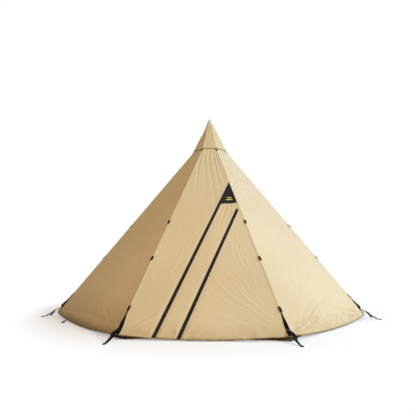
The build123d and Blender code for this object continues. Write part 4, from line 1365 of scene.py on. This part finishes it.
CAD_FINISH = {
    "aluminium": ("pole_lower", "pole_middle", "pole_upper", "pole_finial"),
    "steel": ("pole_buttons",),
    "rubber": ("pole_foot",),
    "plastic": ("pole_head", *(f"ladder_lock_{k + 1}" for k in range(SIDES))),
    "zinc": ("slider_left", "slider_right", "pull_left", "pull_right"),
}


def finish_cad_nodes():
    for material, nodes in CAD_FINISH.items():
        for node in nodes:
            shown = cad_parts[node]
            shown.data.materials.clear()
            shown.data.materials.append(MATERIALS[material])


# ---- stage, light and camera ----
FLOOR_CLEAR_R = (2.35, 3.00)
FLOOR_ALPHA = 0.60
FLOOR_HALF = 5.0
WORLD_COLOR = (1.0, 0.85, 0.63, 1)
WORLD_STRENGTH = 0.470
SEEN_WHITE = (1.0, 1.0, 1.0, 1)


def stage():
    """A pale floor that fades into the white background a little way from the tent."""
    floor = Nodes("pale floor")
    place = floor.place()
    grain = floor.noise(place, 3.0, 3.0)
    floor.set(color=floor.mix(grain, (0.90, 0.90, 0.90), (0.94, 0.94, 0.94)), rough=0.9, specular=0.1)
    axes = floor.split(place)
    squares = [floor.math("POWER", axes[k], 2.0) for k in (0, 1)]
    reach = floor.math("SQRT", floor.math("ADD", *squares))
    floor.feed(floor.shader.inputs["Alpha"], floor.ramp(reach, *FLOOR_CLEAR_R, FLOOR_ALPHA, 0.0))
    points = [(FLOOR_HALF * a, FLOOR_HALF * b, 0) for a, b in ((-1, -1), (1, -1), (1, 1), (-1, 1))]
    ground = mesh_object("floor", points, [(0, 1, 2, 3)], floor.material, smooth_shade=False)
    ground.location.z = -0.0004


def sky():
    """A warm even light from all round, which the camera sees as a white background."""
    world = bpy.data.worlds.new("studio")
    bpy.context.scene.world = world
    world.use_nodes = True
    tree = world.node_tree
    background = tree.nodes["Background"]
    background.inputs["Color"].default_value = WORLD_COLOR
    background.inputs["Strength"].default_value = WORLD_STRENGTH
    seen = tree.nodes.new("ShaderNodeBackground")
    seen.inputs["Color"].default_value = SEEN_WHITE
    seen.inputs["Strength"].default_value = 1.0
    path = tree.nodes.new("ShaderNodeLightPath")
    choose = tree.nodes.new("ShaderNodeMixShader")
    tree.links.new(path.outputs["Is Camera Ray"], choose.inputs[0])
    tree.links.new(background.outputs[0], choose.inputs[1])
    tree.links.new(seen.outputs[0], choose.inputs[2])
    tree.links.new(choose.outputs[0], tree.nodes["World Output"].inputs["Surface"])


LAMPS = {
    # place, aim, size, power, colour and whether it lights matt surfaces too
    "key": ((9.8, -5.6, 5.8), (0.4, -1.0, 1.0), 3.0, 1370.0, (0.66, 0.86, 1.0), True),
    "bounce": ((-1.2, -4.8, 2.9), (-0.5, -0.9, 1.9), 1.6, 42.0, (1.0, 0.82, 0.58), True),
    "sky": ((5.2, 2.4, 5.6), (1.0, -1.0, 1.0), 4.5, 1800.0, (0.46, 0.62, 1.0), False),
}


def lights():
    for name, (place, target, size, power, color, matt) in LAMPS.items():
        data = bpy.data.lights.new(name, "AREA")
        data.size = size
        data.energy = power
        data.color = color
        lamp = bpy.data.objects.new(name, data)
        lamp.location = place
        lamp.visible_diffuse = matt
        lamp.rotation_euler = (Vector(target) - Vector(place)).to_track_quat("-Z", "Y").to_euler()
        bpy.context.scene.collection.objects.link(lamp)


CAMERA_PLACE = (0.209, -5.850, 0.915)
CAMERA_PITCH = 0.1354
CAMERA_YAW = 0.0425
CAMERA_LENS = 28.64


def camera():
    data = bpy.data.cameras.new("camera")
    data.lens = CAMERA_LENS
    data.sensor_width = 36.0
    viewer = bpy.data.objects.new("camera", data)
    viewer.location = CAMERA_PLACE
    viewer.rotation_euler = (math.pi / 2 + CAMERA_PITCH, 0.0, CAMERA_YAW)
    bpy.context.scene.collection.objects.link(viewer)
    bpy.context.scene.camera = viewer
    bpy.context.scene.view_settings.view_transform = "Standard"


camera()
stage()
sky()
lights()
plain_sides()
front_canvas()
door_patch()
door_strip()
door_flap()
zips()
seams()
hem_edges()
vent_hat()
hat_rim()
toggles()
corner_patches()
corner_tabs()
corner_straps()
guy_tabs()
hem_loops()
sod_cloth()
inside_webbing()
badge()
finish_cad_nodes()
